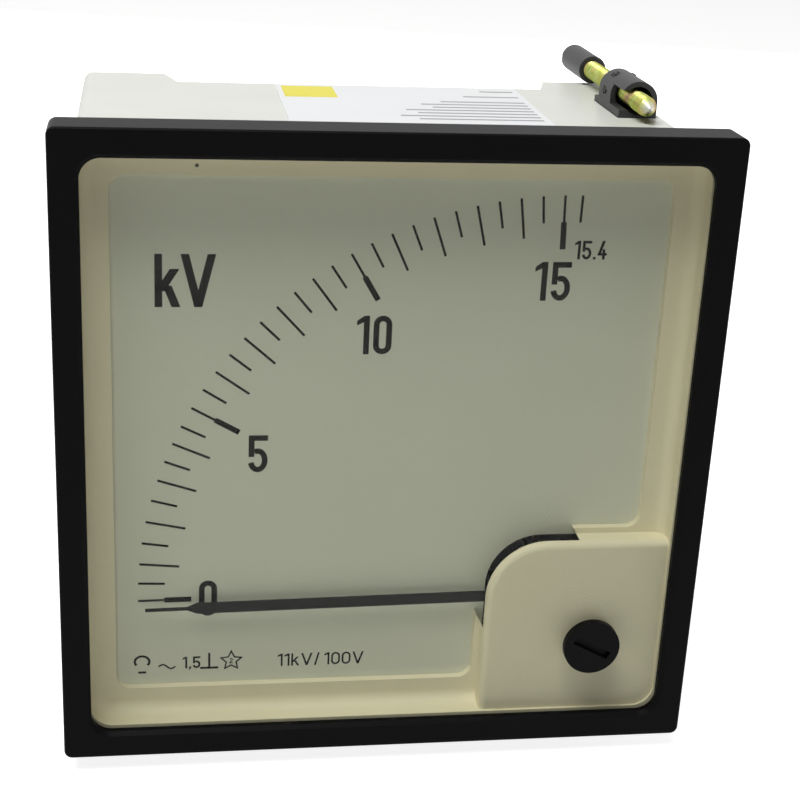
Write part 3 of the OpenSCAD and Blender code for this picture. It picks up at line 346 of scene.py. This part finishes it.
# Black ABS, moulded on a spark-eroded tool: deep black with a satin grain and a little dust.
BLACK_ABS = DustyPlastic("black_abs_spark_grain", "#040405", "#080809", 0.42, 0.12, 0.006,
                         specular=0.05, edge_mm=0.15)
# The same ABS on a small turned-looking part: a little smoother, so that its slot reads.
BLACK_ABS_SMOOTH = Finish("black_abs_smooth", "#060607", "#0a0a0b", 0.36, 0.2, 0.004, specular=0.06)
# Cream ABS with a fine matt texture: warm, even and shadowless, with one dark fleck.
CREAM_ABS = MarkedPlastic("cream_abs_fine_texture", "#ede5cb", "#e6dec1", 0.5, 0.15, 0.004, specular=0.3,
                          mark_at_mm=(-28.2, 1.0, 41.6))
# Light grey ABS from a polished tool: nearly white, with soft broad highlights.
GREY_ABS = Finish("light_grey_abs_polished", "#e0e2da", "#d8dad1", 0.34, 0.25, 0.003, specular=0.25,
                  edge_mm=0.25)
# Stove-enamelled aluminium sheet: dead flat off-white with the faintest orange peel.
DIAL_ENAMEL = Finish("off_white_stove_enamel", "#dbdccd", "#d7d8c8", 0.55, 0.4, 0.002, specular=0.3,
                     edge_mm=0.05)
# Screen-printed ink: matt black that stands a hair above the enamel.
DIAL_INK = Finish("black_screen_ink", "#151512", "#1b1b17", 0.6, 0.1, 0.002, specular=0.1,
                  edge_mm=0.01)
# Matt lacquer on thin aluminium sheet: charcoal, hardly any shine.
POINTER_LACQUER = Finish("matt_black_lacquer", "#171715", "#1d1d1b", 0.55, 0.15, 0.003,
                         specular=0.15, edge_mm=0.03)
# Glass-filled nylon: black that greys in the light, because fibres roughen its skin.
BLACK_NYLON = Finish("black_glass_filled_nylon", "#1c1c1d", "#262627", 0.5, 0.18, 0.008, edge_mm=0.15)
# Phenolic moulding compound: brown-black and slightly glossy.
BLACK_PHENOLIC = Finish("black_phenolic_moulded", "#17130f", "#221c16", 0.38, 0.3, 0.004)
# Polyester label film: whiter and smoother than the case under it.
LABEL_FILM = Finish("white_polyester_film", "#eeeff0", "#e9eaeb", 0.4, 0.5, 0.001, specular=0.25,
                    edge_mm=0.02)
YELLOW_PRINT = Finish("yellow_label_ink", "#e8de2c", "#e2d628", 0.45, 0.3, 0.001, edge_mm=0.01)
GREY_PRINT = Finish("grey_label_ink", "#8b8d90", "#9c9ea1", 0.5, 0.1, 0.001, edge_mm=0.01)
# Free-cutting brass, turned: warm yellow with fine rings from the tool.
BRASS = Finish("turned_brass", "#d8b766", "#c9a655", 0.28, 0.2, 0.006, metallic=1.0, lay=Lay.ROUND_Y)
# Bright zinc on turned steel: cool grey with the same rings.
ZINC_STEEL = Finish("bright_zinc_plated_steel", "#b9bcc0", "#a9adb2", 0.3, 0.2, 0.006, metallic=1.0,
                    lay=Lay.ROUND_Y)
# Blued steel: the square nuts hidden in the clamps' saddles, dark where the slots show them.
BLACK_OXIDE = Finish("black_oxide_steel", "#1b1b1c", "#141415", 0.5, 0.2, 0.006, metallic=1.0)
SOFT_IRON = Finish("annealed_iron_sheet", "#7d7f82", "#6a6b6e", 0.45, 0.3, 0.006, metallic=1.0,
                   lay=Lay.ALONG_X)
ALUMINIUM = Finish("rolled_aluminium_sheet", "#c6c8ca", "#b9bbbd", 0.35, 0.25, 0.005, metallic=1.0,
                   lay=Lay.ALONG_X)
# Brass darkened as painted shade: the movement's front parts, seen through the shadowed gap over the dial,
# so that nothing glints at the dial.
BRASS_DARKENED_AS_SHADE = Finish("brass_painted_shade_matt", "#4a4031", "#3b3226", 0.55, 0.2, 0.006, metallic=1.0)
BRONZE_STRIP = Finish("phosphor_bronze_strip", "#c99a62", "#b98a52", 0.3, 0.2, 0.003, metallic=1.0)
TINNED_BRASS = Finish("tinned_brass_sheet", "#c9c9c2", "#b8b8b0", 0.32, 0.3, 0.006, metallic=1.0,
                      lay=Lay.ALONG_Z)
# Paper laminate: golden brown with the fibres of its paper.
LAMINATE = Finish("paper_phenolic_laminate", "#a8814a", "#8f6a38", 0.4, 0.5, 0.006, drift_mm=3.0,
                  lay=Lay.ALONG_X)
RED_SLEEVE = Finish("red_pvc_sleeve", "#9a1f1a", "#84160f", 0.42, 0.3, 0.004)
# Enamelled copper winding: its darker tone is painted shade between the turns.
COPPER_COIL = Wound("enamelled_copper_winding", "#a8521f", "#5e2409", 0.3, 0.35, 0.06)
RESISTOR = Banded("dipped_enamel_with_rings", "#4f7a63", "#47705a", 0.35, 0.4, 0.003,
                  rings=("#6b3410", "#101010", "#d9a514", "#b98d2a"))
WINDOW = ClearAcrylic("clear_moulded_acrylic", "#fcfdfb", "#f0f1ec", 0.012, 1.0, 0.0, drift_mm=15.0,
                      ior=1.49)
YELLOW_ZINC = Passivate("yellow_passivated_zinc", "#b9c068", "#a5ad56", 0.3, 0.12, 0.004, metallic=1.0,
                        bands=("#8f9f42", "#c4ca7c", "#aab654", "#c9b876", "#ab8670"),
                        bare_from=0.0159, bare_to=0.0173, lay=Lay.ROUND_Y)


# ------------------------------------------------------------------ mesh helpers


def mesh_object(name: str, bm: bmesh.types.BMesh, finish: Finish,
                smooth_deg: float = 0.0) -> bpy.types.Object:
    """Makes an object of a bmesh and frees it.

    Args:
        name: The piece's name.
        bm: Its mesh, in the shared frame.
        finish: Its finish.
        smooth_deg: Faces that meet at less than this angle are shaded as one surface.

    Returns:
        The new object.
    """
    bmesh.ops.recalc_face_normals(bm, faces=bm.faces)
    mesh = bpy.data.meshes.new(name)
    for edge in bm.edges:
        edge.smooth = len(edge.link_faces) == 2 and edge.calc_face_angle() < math.radians(smooth_deg)
    for face in bm.faces:
        face.smooth = smooth_deg > 0
    bm.to_mesh(mesh)
    bm.free()
    mesh.materials.append(finish.material())
    piece = bpy.data.objects.new(name, mesh)
    bpy.context.scene.collection.objects.link(piece)
    return piece


def dress(finish: Finish, *nodes: str) -> None:
    """Gives CAD nodes a finish in place of their plain colour."""
    for name in nodes:
        slots = frame["nodes"][name].material_slots
        for slot in slots:
            slot.material = finish.material()
        LOG.info("dressed %s in %s", name, finish.name)


def finished(piece: bpy.types.Object, body: str) -> None:
    """Ties a new piece to its body, and reports it."""
    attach(piece, body)
    LOG.info("made %s on %s", piece.name, body)


def arc(cx: float, cz: float, rx: float, rz: float, start: float, end: float, steps: int = 20) -> Outline:
    """Points along part of an ellipse, with its angles in degrees."""
    turns = (math.radians(start + (end - start) * i / steps) for i in range(steps + 1))
    return [(cx + rx * math.cos(t), cz + rz * math.sin(t)) for t in turns]


def block(x0: float, z0: float, x1: float, z1: float) -> list[Outline]:
    """A rectangle between two corners."""
    return [[(x0, z0), (x1, z0), (x1, z1), (x0, z1)]]


def slanted(x0: float, z0: float, x1: float, z1: float, width: float) -> list[Outline]:
    """A slanting stroke whose two ends are cut level. Its width is measured along X."""
    return [[(x0, z0), (x0 + width, z0), (x1 + width, z1), (x1, z1)]]


def band(outer: Outline, inner: Outline) -> list[Outline]:
    """The quads between two lines with as many points each."""
    pairs = range(len(outer) - 1)
    return [[outer[i], outer[i + 1], inner[i + 1], inner[i]] for i in pairs]


def arc_band(cx: float, cz: float, rx: float, rz: float, width: float, start: float,
             end: float) -> list[Outline]:
    """A stroke of even width along part of an ellipse."""
    outer = arc(cx, cz, rx, rz, start, end)
    return band(outer, arc(cx, cz, rx - width, rz - width, start, end))


def stroke(line: Sequence[tuple[float, float]], width: float, closed: bool = False) -> list[Outline]:
    """A drawn line of even width, mitred at its corners.

    Args:
        line: The points along the middle of the line.
        width: The line's width.
        closed: True if its last point joins its first.

    Returns:
        The quads that cover it.
    """
    points = [Vector(p) for p in line]
    count = len(points)
    left, right = [], []
    for i, point in enumerate(points):
        back = points[i - 1] if i or closed else point * 2 - points[1]
        ahead = points[(i + 1) % count] if i < count - 1 or closed else point * 2 - points[i - 1]
        into, away = (point - back).normalized(), (ahead - point).normalized()
        side = Vector((-into.y - away.y, into.x + away.x)).normalized()
        reach = width / 2 / max(side.dot(Vector((-into.y, into.x))), 0.3)
        left.append(tuple(point + side * reach))
        right.append(tuple(point - side * reach))
    if closed:
        left.append(left[0])
        right.append(right[0])
    return band(left, right)


def moved(shapes: Iterable[Outline], x: float, z: float, height: float = 1.0) -> list[Outline]:
    """Outlines scaled to a height and moved to a place."""
    return [[(x + height * u, z + height * v) for u, v in shape] for shape in shapes]


@dataclass(frozen=True)
class PrintBed:
    """A flat face that takes print: the origin of its drawing, its two directions and its normal."""

    origin: Vector
    across: Vector
    up: Vector
    out: Vector

    def point(self, u_mm: float, v_mm: float, height_mm: float) -> Vector:
        """The place of a drawn point, at a height above the face."""
        return self.origin + (self.across * u_mm + self.up * v_mm + self.out * height_mm) * MM

    def lay(self, name: str, shapes: Iterable[Outline], thick_mm: float, finish: Finish) -> bpy.types.Object:
        """Prints outlines as thin closed solids.

        Args:
            name: The piece's name.
            shapes: Outlines in millimetres of the drawing.
            thick_mm: How thick the print lies.
            finish: Its ink.

        Returns:
            The printed piece.
        """
        bm = bmesh.new()
        for shape in shapes:
            low = [bm.verts.new(self.point(u, v, PRINT_LIFT_MM)) for u, v in shape]
            high = [bm.verts.new(self.point(u, v, thick_mm)) for u, v in shape]
            bm.faces.new(low[::-1])
            bm.faces.new(high)
            for i in range(len(shape)):
                j = (i + 1) % len(shape)
                bm.faces.new((low[i], low[j], high[j], high[i]))
        return mesh_object(name, bm, finish)


# ------------------------------------------------------------------ lettering


@dataclass(frozen=True)
class Lettering:
    """Condensed sans-serif figures of even stroke, drawn one unit high.

    Each figure is a method that returns its outlines. The next one stands a gap past its widest
    point.
    """

    stroke: float
    narrow: float = 1.0
    gap: float = 0.1

    def zero(self) -> list[Outline]:
        """Two upright sides joined by round ends."""
        w = 0.46 * self.narrow
        r = w / 2
        s = self.stroke
        sides = block(0, r, s, 1 - r) + block(w - s, r, w, 1 - r)
        return sides + arc_band(r, 1 - r, r, r, s, 0, 180) + arc_band(r, r, r, r, s, 180, 360)

    def one(self) -> list[Outline]:
        """A stem with a flag that falls to the left."""
        s = self.stroke
        left = 0.17 * self.narrow
        flag = [[(0, 0.75), (left + 0.01, 0.84), (left + 0.01, 1.0), (0, 0.87)]]
        return block(left, 0, left + s, 1) + flag

    def four(self) -> list[Outline]:
        """A leaning side, a crossbar and a stem."""
        s = self.stroke
        w = 0.5 * self.narrow
        lean = slanted(0, 0.22, w - 2 * s, 1, s * 1.1)
        return lean + block(0, 0.22, w, 0.22 + s * 0.9) + block(w - 1.75 * s, 0, w - 0.75 * s, 0.55)

    def five(self) -> list[Outline]:
        """A top bar, a short side and a bowl."""
        s = self.stroke
        w = 0.5 * self.narrow
        bowl = arc_band(w / 2, 0.325, w / 2, 0.325, s, 118, -165)
        return block(0.02, 1 - s, w, 1) + block(0.02, 0.42, 0.02 + s, 1 - s) + bowl

    def letter_k(self) -> list[Outline]:
        """A tall stem with two slanting arms."""
        s = self.stroke
        n = self.narrow
        upper = slanted(0.01, 0.30, 0.275 * n, 0.72, s * 1.26)
        return block(0, 0, s, 1) + upper + slanted(0.305 * n, 0, 0.145 * n, 0.405, s * 1.17)

    def letter_v(self) -> list[Outline]:
        """Two slanting arms that meet in a flat foot."""
        s = self.stroke * 1.1
        n = self.narrow
        return slanted(0.246 * n, 0, 0, 1, s) + slanted(0.24 * n, 0, 0.486 * n, 1, s)

    def comma(self) -> list[Outline]:
        """A decimal comma."""
        s = self.stroke
        return [[(0.02, 0), (0.02 + s, 0), (0.02 + s, s), (0.02, s)],
                [(0.02 + s / 3, 0.01), (-0.03, -0.14), (0.03, -0.14), (0.02 + s, 0.01)]]

    def point(self) -> list[Outline]:
        """A decimal point."""
        return block(0.02, 0, 0.02 + self.stroke, self.stroke)

    def slash(self) -> list[Outline]:
        """A leaning bar."""
        return slanted(0, -0.02, 0.26, 1.02, self.stroke)

    def write(self, text: str, x: float, z: float, height: float) -> list[Outline]:
        """Sets a line of figures.

        Args:
            text: Made of the characters 0 1 4 5 k V . , / and spaces.
            x: Left end of the line.
            z: The line on which the figures stand.
            height: Their height.

        Returns:
            The line's outlines.
        """
        figures = {"0": self.zero, "1": self.one, "4": self.four, "5": self.five, "k": self.letter_k,
                   "V": self.letter_v, ",": self.comma, ".": self.point, "/": self.slash}
        shapes: list[Outline] = []
        for character in text:
            if character == " ":
                x += 0.22 * height
                continue
            figure = figures[character]()
            width = max(u for shape in figure for u, _ in shape)
            shapes += moved(figure, x, z, height)
            x += (width + self.gap) * height
        return shapes


# ------------------------------------------------------------------ dial


@dataclass
class Dial:
    """The enamelled plate with its scale, figures and symbols."""

    pivot: Vector
    face: float
    print_offset: tuple[float, float] = (0.45, 0.22)
    scale_radius: float = 62.8
    short_tick: float = 4.0
    long_tick: float = 6.0
    tick_w: float = 0.36
    bold_w: float = 0.85
    ink_mm: float = 0.03
    calibration: tuple[tuple[float, float], ...] = (
        (0, -0.62), (0.5, 2.07), (1, 5.02), (1.5, 8.22), (2, 11.46), (2.5, 14.72), (3, 17.8),
        (3.5, 20.69), (4, 23.48), (4.5, 26.21), (5, 29.17), (10, 59.14), (15, 88.45), (15.4, 90.81))
    bed: PrintBed = field(init=False)

    def __post_init__(self) -> None:
        """Lays the drawing's origin at the middle of the dial's face."""
        origin = Vector((0, self.face, 0))
        self.bed = PrintBed(origin, Vector((1, 0, 0)), Vector((0, 0, 1)), Vector((0, -1, 0)))

    def angle(self, kilovolts: float) -> float:
        """Angle above the left horizontal, in degrees, between the two nearest calibrated marks."""
        for (low, start), (high, end) in zip(self.calibration, self.calibration[1:]):
            if kilovolts <= high:
                return start + (end - start) * (kilovolts - low) / (high - low)
        return self.calibration[-1][1]

    def tick(self, kilovolts: float, start: float, end: float, width: float) -> list[Outline]:
        """A radial line that starts and ends at these distances inside the scale's radius."""
        turn = math.radians(180 - self.angle(kilovolts))
        way = Vector((math.cos(turn), math.sin(turn)))
        centre = Vector((self.pivot.x, self.pivot.z)) / MM + Vector(self.print_offset)
        line = [tuple(centre + way * (self.scale_radius - r)) for r in (start, end)]
        return stroke(line, width)

    def scale(self) -> list[Outline]:
        """All the ticks: half units short, units long, and every fifth unit bold inside."""
        shapes: list[Outline] = []
        for half in range(31):
            value = half / 2
            if value % 5 == 0:
                shapes += self.tick(value, 0, self.short_tick, self.tick_w)
                shapes += self.tick(value, self.short_tick - 0.05, 2 * self.short_tick, self.bold_w)
            else:
                length = self.long_tick if value % 1 == 0 else self.short_tick
                shapes += self.tick(value, 0, length, self.tick_w)
        return shapes + self.tick(self.calibration[-1][0], 0, self.short_tick, self.tick_w)

    def figures(self) -> list[Outline]:
        """The numbers along the scale."""
        bold = Lettering(stroke=0.145)
        shapes = bold.write("0", -27.7, -28.6, 6.0) + bold.write("5", -20.6, -4.8, 5.9)
        shapes += bold.write("10", -5.1, 13.7, 5.9) + bold.write("15", 20.7, 21.9, 5.9)
        return shapes + Lettering(stroke=0.14, gap=0.09).write("15.4", 26.3, 28.2, 2.8)

    def unit(self) -> list[Outline]:
        """The unit, in larger letters."""
        return Lettering(stroke=0.138, gap=0.0).write("kV", -34.05, 20.9, 7.8)

    def symbols(self) -> list[Outline]:
        """Signs for the movement, the current, the class, the position and the test voltage."""
        thin = Lettering(stroke=0.15, narrow=1.15, gap=0.12)
        arch = stroke(arc(-36.34, -36.3, 1.11, 0.95, -40, 220), 0.36)
        iron = block(-36.95, -38.36, -35.75, -38.0)
        wave = [(-33.83 + 2.55 * i / 16, -37.27 + 0.36 * math.sin(math.tau * i / 16)) for i in range(17)]
        upright = block(-26.25, -37.6, -25.9, -35.1) + block(-27.47, -37.89, -24.68, -37.54)
        star = [(-22.69 + r * math.sin(math.pi * k / 5), -36.58 + r * math.cos(math.pi * k / 5))
                for k, r in zip(range(10), (1.66, 0.8) * 5)]
        digit = [(-22.92, -36.35), (-22.69, -36.2), (-22.47, -36.4), (-22.93, -36.98), (-22.43, -36.98)]
        signs = arch + iron + stroke(wave, 0.26) + upright + stroke(star, 0.22, closed=True)
        ratio = Lettering(stroke=0.13, narrow=1.4, gap=0.128).write("11kV/ 100V", -15.5, -37.83, 2.16)
        return signs + stroke(digit, 0.13) + thin.write("1,5", -30.16, -37.7, 2.05) + ratio

    def build(self) -> None:
        """Dresses the plate and prints it."""
        dress(DIAL_ENAMEL, "dial_plate")
        prints = {"dial_scale": self.scale(), "dial_figures": self.figures(),
                  "dial_unit": self.unit(), "dial_symbols": self.symbols()}
        for name, shapes in prints.items():
            finished(self.bed.lay(name, shapes, self.ink_mm, DIAL_INK), "case")


# ------------------------------------------------------------------ front


@dataclass
class Front:
    """The frame, window, mask and adjuster that are seen from the front."""

    def build(self) -> None:
        """Dresses the mouldings and the window."""
        dress(BLACK_ABS, "bezel_frame")
        dress(WINDOW, "front_window")
        dress(CREAM_ABS, "dial_mask")
        dress(BLACK_ABS_SMOOTH, "zero_adjuster")


# ------------------------------------------------------------------ threads


@dataclass
class ThreadedRod:
    """A rod along the depth with a rolled thread inside its outline.

    The outline gives the largest radius at each depth, so its ends can be pointed or
    chamfered.
    """

    axis: Vector
    outline: list[tuple[float, float]]
    pitch: float
    depth_of_thread: float
    sides: int = 32

    def radius(self, y: float) -> float:
        """The outline's radius at a depth."""
        for (y0, r0), (y1, r1) in zip(self.outline, self.outline[1:]):
            if y <= y1:
                return r0 + (r1 - r0) * max(y - y0, 0) / (y1 - y0)
        return self.outline[-1][1]

    def mesh(self) -> bmesh.types.BMesh:
        """The rod's closed mesh, with its rings laid along the helix."""
        crest = max(r for _, r in self.outline)
        profile = [(0.0, 0.0), (0.36, 1.0), (0.5, 1.0), (0.86, 0.0)]
        y_start, y_end = self.outline[0][0], self.outline[-1][0]
        turns = math.ceil((y_end - y_start) / self.pitch) + 1
        bm = bmesh.new()
        lines = []
        for i in range(turns * self.sides + 1):
            angle = math.tau * i / self.sides
            line = []
            for share, cut in profile:
                y = y_start - self.pitch + self.pitch * (i / self.sides + share)
                y = min(max(y, y_start), y_end)
                r = min(crest - self.depth_of_thread * cut, self.radius(y))
                spot = (self.axis.x + r * math.cos(angle), y, self.axis.z + r * math.sin(angle))
                line.append(bm.verts.new(spot))
            lines.append(line)
        for i, (line, after) in enumerate(zip(lines, lines[1:])):
            for k in range(len(profile) - 1):
                bm.faces.new((line[k], line[k + 1], after[k + 1], after[k]))
            if i + self.sides + 1 < len(lines):
                nextline, nextafter = lines[i + self.sides], lines[i + self.sides + 1]
                bm.faces.new((line[-1], nextline[0], nextafter[0], after[-1]))
        bmesh.ops.remove_doubles(bm, verts=bm.verts, dist=0.000004)
        bmesh.ops.dissolve_degenerate(bm, edges=bm.edges, dist=0.000002)
        bmesh.ops.holes_fill(bm, edges=[e for e in bm.edges if e.is_boundary], sides=0)
        return bm


@dataclass
class Clamp:
    """One of the two screw clamps: saddle, nut, stud and knob."""

    side: str
    pitch: float = 0.0005
    thread: float = 0.0003
    tip_length: float = 0.0016
    tip_radius: float = 0.00015
    end_chamfer: float = 0.0003

    def build(self) -> None:
        """Dresses the clamp and cuts its stud's thread."""
        dress(BLACK_NYLON, f"{self.side}_clamp_bracket", f"{self.side}_clamp_knob")
        dress(BLACK_OXIDE, f"{self.side}_clamp_nut")
        low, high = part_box(f"{self.side}_clamp_stud")
        radius = (high.x - low.x) / 2
        root = radius - self.thread
        outline = [(low.y, self.tip_radius), (low.y + self.tip_length, root),
                   (low.y + self.tip_length + self.thread, radius),
                   (high.y - self.end_chamfer, radius), (high.y, radius - self.end_chamfer)]
        rod = ThreadedRod((low + high) / 2, outline, self.pitch, self.thread)
        stud = mesh_object(f"{self.side}_stud_thread", rod.mesh(), YELLOW_ZINC, smooth_deg=SMOOTH_DEG)
        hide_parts(f"{self.side}_clamp_stud")
        finished(stud, f"{self.side}_clamp_stud")


@dataclass
class Terminals:
    """The two studs with their nuts and washers."""

    radius: float = 0.002
    half_spacing: float = 0.012
    pitch: float = 0.0007
    thread: float = 0.0004
    end_chamfer: float = 0.0004
    head_depth: float = 0.003

    def stud(self, name: str, x: float, low: Vector, high: Vector, across: float) -> bpy.types.Object:
        """A threaded stud with its hexagon head inside the case."""
        start = low.y + self.head_depth - 0.0001
        outline = [(start, self.radius), (high.y - self.end_chamfer, self.radius),
                   (high.y, self.radius - self.end_chamfer)]
        axis = Vector((x, 0, (low.z + high.z) / 2))
        bm = ThreadedRod(axis, outline, self.pitch, self.thread).mesh()
        head = bmesh.ops.create_cone(bm, cap_ends=True, segments=6, radius1=across / 2,
                                     radius2=across / 2, depth=self.head_depth)["verts"]
        turn = Matrix.Rotation(math.radians(90), 4, "X") @ Matrix.Rotation(math.radians(30), 4, "Z")
        place = Matrix.Translation((x, low.y + self.head_depth / 2, axis.z))
        bmesh.ops.transform(bm, matrix=place @ turn, verts=head)
        return mesh_object(name, bm, BRASS, smooth_deg=SMOOTH_DEG)

    def build(self) -> None:
        """Dresses the nuts and washers, and cuts the studs' threads."""
        dress(BRASS, "terminal_fixing_nuts", "terminal_nuts")
        dress(TINNED_BRASS, "terminal_washers", "solder_tags")
        low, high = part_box("terminal_studs")
        across = 2 * (high.x - self.half_spacing)
        pair = [self.stud(f"terminal_stud_{side}", sign * self.half_spacing, low, high, across)
                for side, sign in (("left", -1), ("right", 1))]
        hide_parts("terminal_studs")
        for stud in pair:
            finished(stud, "case")


# ------------------------------------------------------------------ case


@dataclass
class Case:
    """The case with its label and the label's plain print."""

    print_mm: float = 0.02
    bar_h: float = 0.7
    bar_pitch: float = 2.3
    bar_lengths: tuple[float, ...] = (5.5, 0.0, 9.0, 0.0, 13.5, 17.0, 15.5, 20.0, 18.5, 21.5, 19.0)

    def build(self) -> None:
        """Dresses the case and prints the label."""
        dress(GREY_ABS, "case_shell")
        dress(LABEL_FILM, "rating_label")
        low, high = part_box("rating_label")
        corner = Vector((low.x, low.y, high.z))
        bed = PrintBed(corner, Vector((1, 0, 0)), Vector((0, 1, 0)), Vector((0, 0, 1)))
        patch = bed.lay("label_patch", block(0.9, 22.1, 9.2, 31.35), self.print_mm, YELLOW_PRINT)
        finished(patch, "case")
        right = (high.x - low.x) / MM - 1.0
        bars: list[Outline] = []
        for row, length in enumerate(self.bar_lengths):
            top = 29.8 - row * self.bar_pitch
            if length:
                bars += block(right - length, top - self.bar_h, right, top)
        finished(bed.lay("label_bars", bars, self.print_mm, GREY_PRINT), "case")


# ------------------------------------------------------------------ movement


@dataclass
class Movement:
    """What the case hides, and the pointer."""

    def build(self) -> None:
        """Dresses each piece in its own metal or moulding."""
        dress(POINTER_LACQUER, "pointer")
        dress(BRASS, "rear_bearing", "bridge_pillars")
        # painted shade: the parts seen in the gap over the dial take a darkened copy of brass
        dress(BRASS_DARKENED_AS_SHADE, "balance_weights", "pointer_hub", "zero_lever", "front_bearing", "front_bridge")
        dress(ZINC_STEEL, "spindle", "bridge_screws", "movement_screws", "board_screws")
        dress(SOFT_IRON, "moving_iron", "fixed_iron")
        dress(ALUMINIUM, "damping_vane", "damping_cover")
        dress(BRONZE_STRIP, "hairspring")
        dress(BLACK_PHENOLIC, "movement_base", "coil_bobbin", "damping_chamber")
        dress(COPPER_COIL, "coil_winding")
        dress(LAMINATE, "resistor_board")
        dress(RED_SLEEVE, "lead_wires")
        low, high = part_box("resistor_board")
        dress(replace(RESISTOR, middle_x=(low.x + high.x) / 2), "series_resistors")


# ------------------------------------------------------------------ studio


@dataclass(frozen=True)
class Lamp:
    """A soft rectangular lamp that faces a point."""

    name: str
    place: tuple[float, float, float]
    target: tuple[float, float, float]
    size: tuple[float, float]
    watts: float
    colour: str = "#ffffff"
    mirrored: bool = True

    def light(self) -> None:
        """Hangs the lamp."""
        data = bpy.data.lights.new(self.name, "AREA")
        data.shape = "RECTANGLE"
        data.size, data.size_y = self.size
        data.energy = self.watts
        data.color = linear(self.colour)[:3]
        lamp = bpy.data.objects.new(self.name, data)
        lamp.location = self.place
        lamp.visible_camera = False
        lamp.visible_glossy = self.mirrored
        way = Vector(self.target) - Vector(self.place)
        lamp.rotation_euler = way.to_track_quat("-Z", "Y").to_euler()
        bpy.context.scene.collection.objects.link(lamp)


@dataclass
class Studio:
    """Floor, lamps, world and camera."""

    floor_size: float = 6.0
    floor_colour: str = "#d0d0ce"
    floor_lift: float = 0.85
    ambient: float = 0.04
    lens: float = 72.82
    sensor: float = 36.0
    camera_place: tuple[float, float, float] = (-0.034904, -0.219028, 0.092119)
    camera_target: tuple[float, float, float] = (0.0015, 0.0, 0.00707)
    camera_roll: float = 2.911
    lamps: tuple[Lamp, ...] = (
        Lamp("upper_softbox", (-0.2, -0.2, 0.68), (0.0, 0.0, 0.0), (0.6, 0.25), 4.9),
        Lamp("rear_softbox", (-0.1, 0.12, 0.75), (0.0, 0.0, 0.0), (0.7, 0.5), 0.6),
        Lamp("back_fill", (0.15, 0.75, 0.06), (0.0, 0.0, 0.0), (0.6, 0.4), 3.4, mirrored=False),
        Lamp("table_bounce", (-0.05, -0.14, -0.035), (0.0, 0.0, 0.0), (0.3, 0.12), 0.066, mirrored=False),
    )

    def seen(self, tree: Tree) -> Socket:
        """One for rays that see the background: from the camera, and by mirror or glass."""
        path = add(tree, "LightPath")
        share = path.outputs["Is Camera Ray"]
        for name in ("Is Glossy Ray", "Is Transmission Ray"):
            share = add(tree, "Math", {0: share, 1: path.outputs[name]}, operation="MAXIMUM").outputs[0]
        return share

    def floor(self) -> None:
        """A pale floor at the meter's lowest point. It keeps the shadow and reads as white."""
        low = Vector(CAD_BOX[0])
        half = self.floor_size / 2
        bm = bmesh.new()
        for x, y in ((-half, -half), (half, -half), (half, half), (-half, half)):
            bm.verts.new((x, y, low.z - FLOOR_GAP))
        bm.faces.new(bm.verts)
        mesh = bpy.data.meshes.new("floor")
        bm.to_mesh(mesh)
        bm.free()
        made = bpy.data.materials.new("pale_matt_paper")
        made.use_nodes = True
        tree = made.node_tree
        tree.nodes.clear()
        paper = add(tree, "BsdfDiffuse", {"Color": linear(self.floor_colour)})
        lift = add(tree, "Math", {0: self.seen(tree), 1: self.floor_lift}, operation="MULTIPLY")
        glow = add(tree, "Emission", {"Color": linear("#ffffff"), "Strength": lift.outputs[0]})
        both = add(tree, "AddShader", {0: paper.outputs[0], 1: glow.outputs[0]})
        add(tree, "OutputMaterial", {"Surface": both.outputs[0]})
        mesh.materials.append(made)
        floor = bpy.data.objects.new("floor", mesh)
        bpy.context.scene.collection.objects.link(floor)

    def world(self) -> None:
        """Even light from all round, which the camera, mirrors and glass see as white."""
        world = bpy.data.worlds.new("studio")
        bpy.context.scene.world = world
        world.use_nodes = True
        tree = world.node_tree
        tree.nodes.clear()
        power = add(tree, "MapRange", {"Value": self.seen(tree), "To Min": self.ambient, "To Max": 1.0})
        light = add(tree, "Background", {"Color": linear("#ffffff"), "Strength": power.outputs[0]})
        add(tree, "OutputWorld", {"Surface": light.outputs[0]})

    def camera(self) -> None:
        """A camera above the meter's left, tilted a little about its own axis."""
        data = bpy.data.cameras.new("camera")
        data.lens = self.lens
        data.sensor_width = self.sensor
        data.clip_start = 0.01
        camera = bpy.data.objects.new("camera", data)
        way = (Vector(self.camera_target) - Vector(self.camera_place)).normalized()
        level = way.cross(Vector((0, 0, 1))).normalized()
        above = level.cross(way)
        roll = math.radians(self.camera_roll)
        right = level * math.cos(roll) + above * math.sin(roll)
        up = above * math.cos(roll) - level * math.sin(roll)
        turn = Matrix((right, up, -way)).transposed().to_4x4()
        camera.matrix_world = Matrix.Translation(self.camera_place) @ turn
        bpy.context.scene.collection.objects.link(camera)
        bpy.context.scene.camera = camera

    def build(self) -> None:
        """Sets up the whole studio."""
        self.camera()
        self.floor()
        self.world()
        for lamp in self.lamps:
            lamp.light()
        bpy.context.scene.view_settings.view_transform = "Standard"
        LOG.info("studio with %d lamps", len(self.lamps))


def joint_place(name: str) -> Vector:
    """Where a joint's axis passes, from the record."""
    return Vector(next(j for j in frame["joints"] if j["name"] == name)["pos_m"])


def main() -> None:
    logging.basicConfig(level=logging.INFO, format="%(name)s: %(message)s")
    Studio().build()
    Front().build()
    Dial(joint_place("pointer_swing"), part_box("dial_plate")[0].y).build()
    Movement().build()
    Case().build()
    Terminals().build()
    for side in ("top", "bottom"):
        Clamp(side).build()


if __name__ == "__main__":
    main()
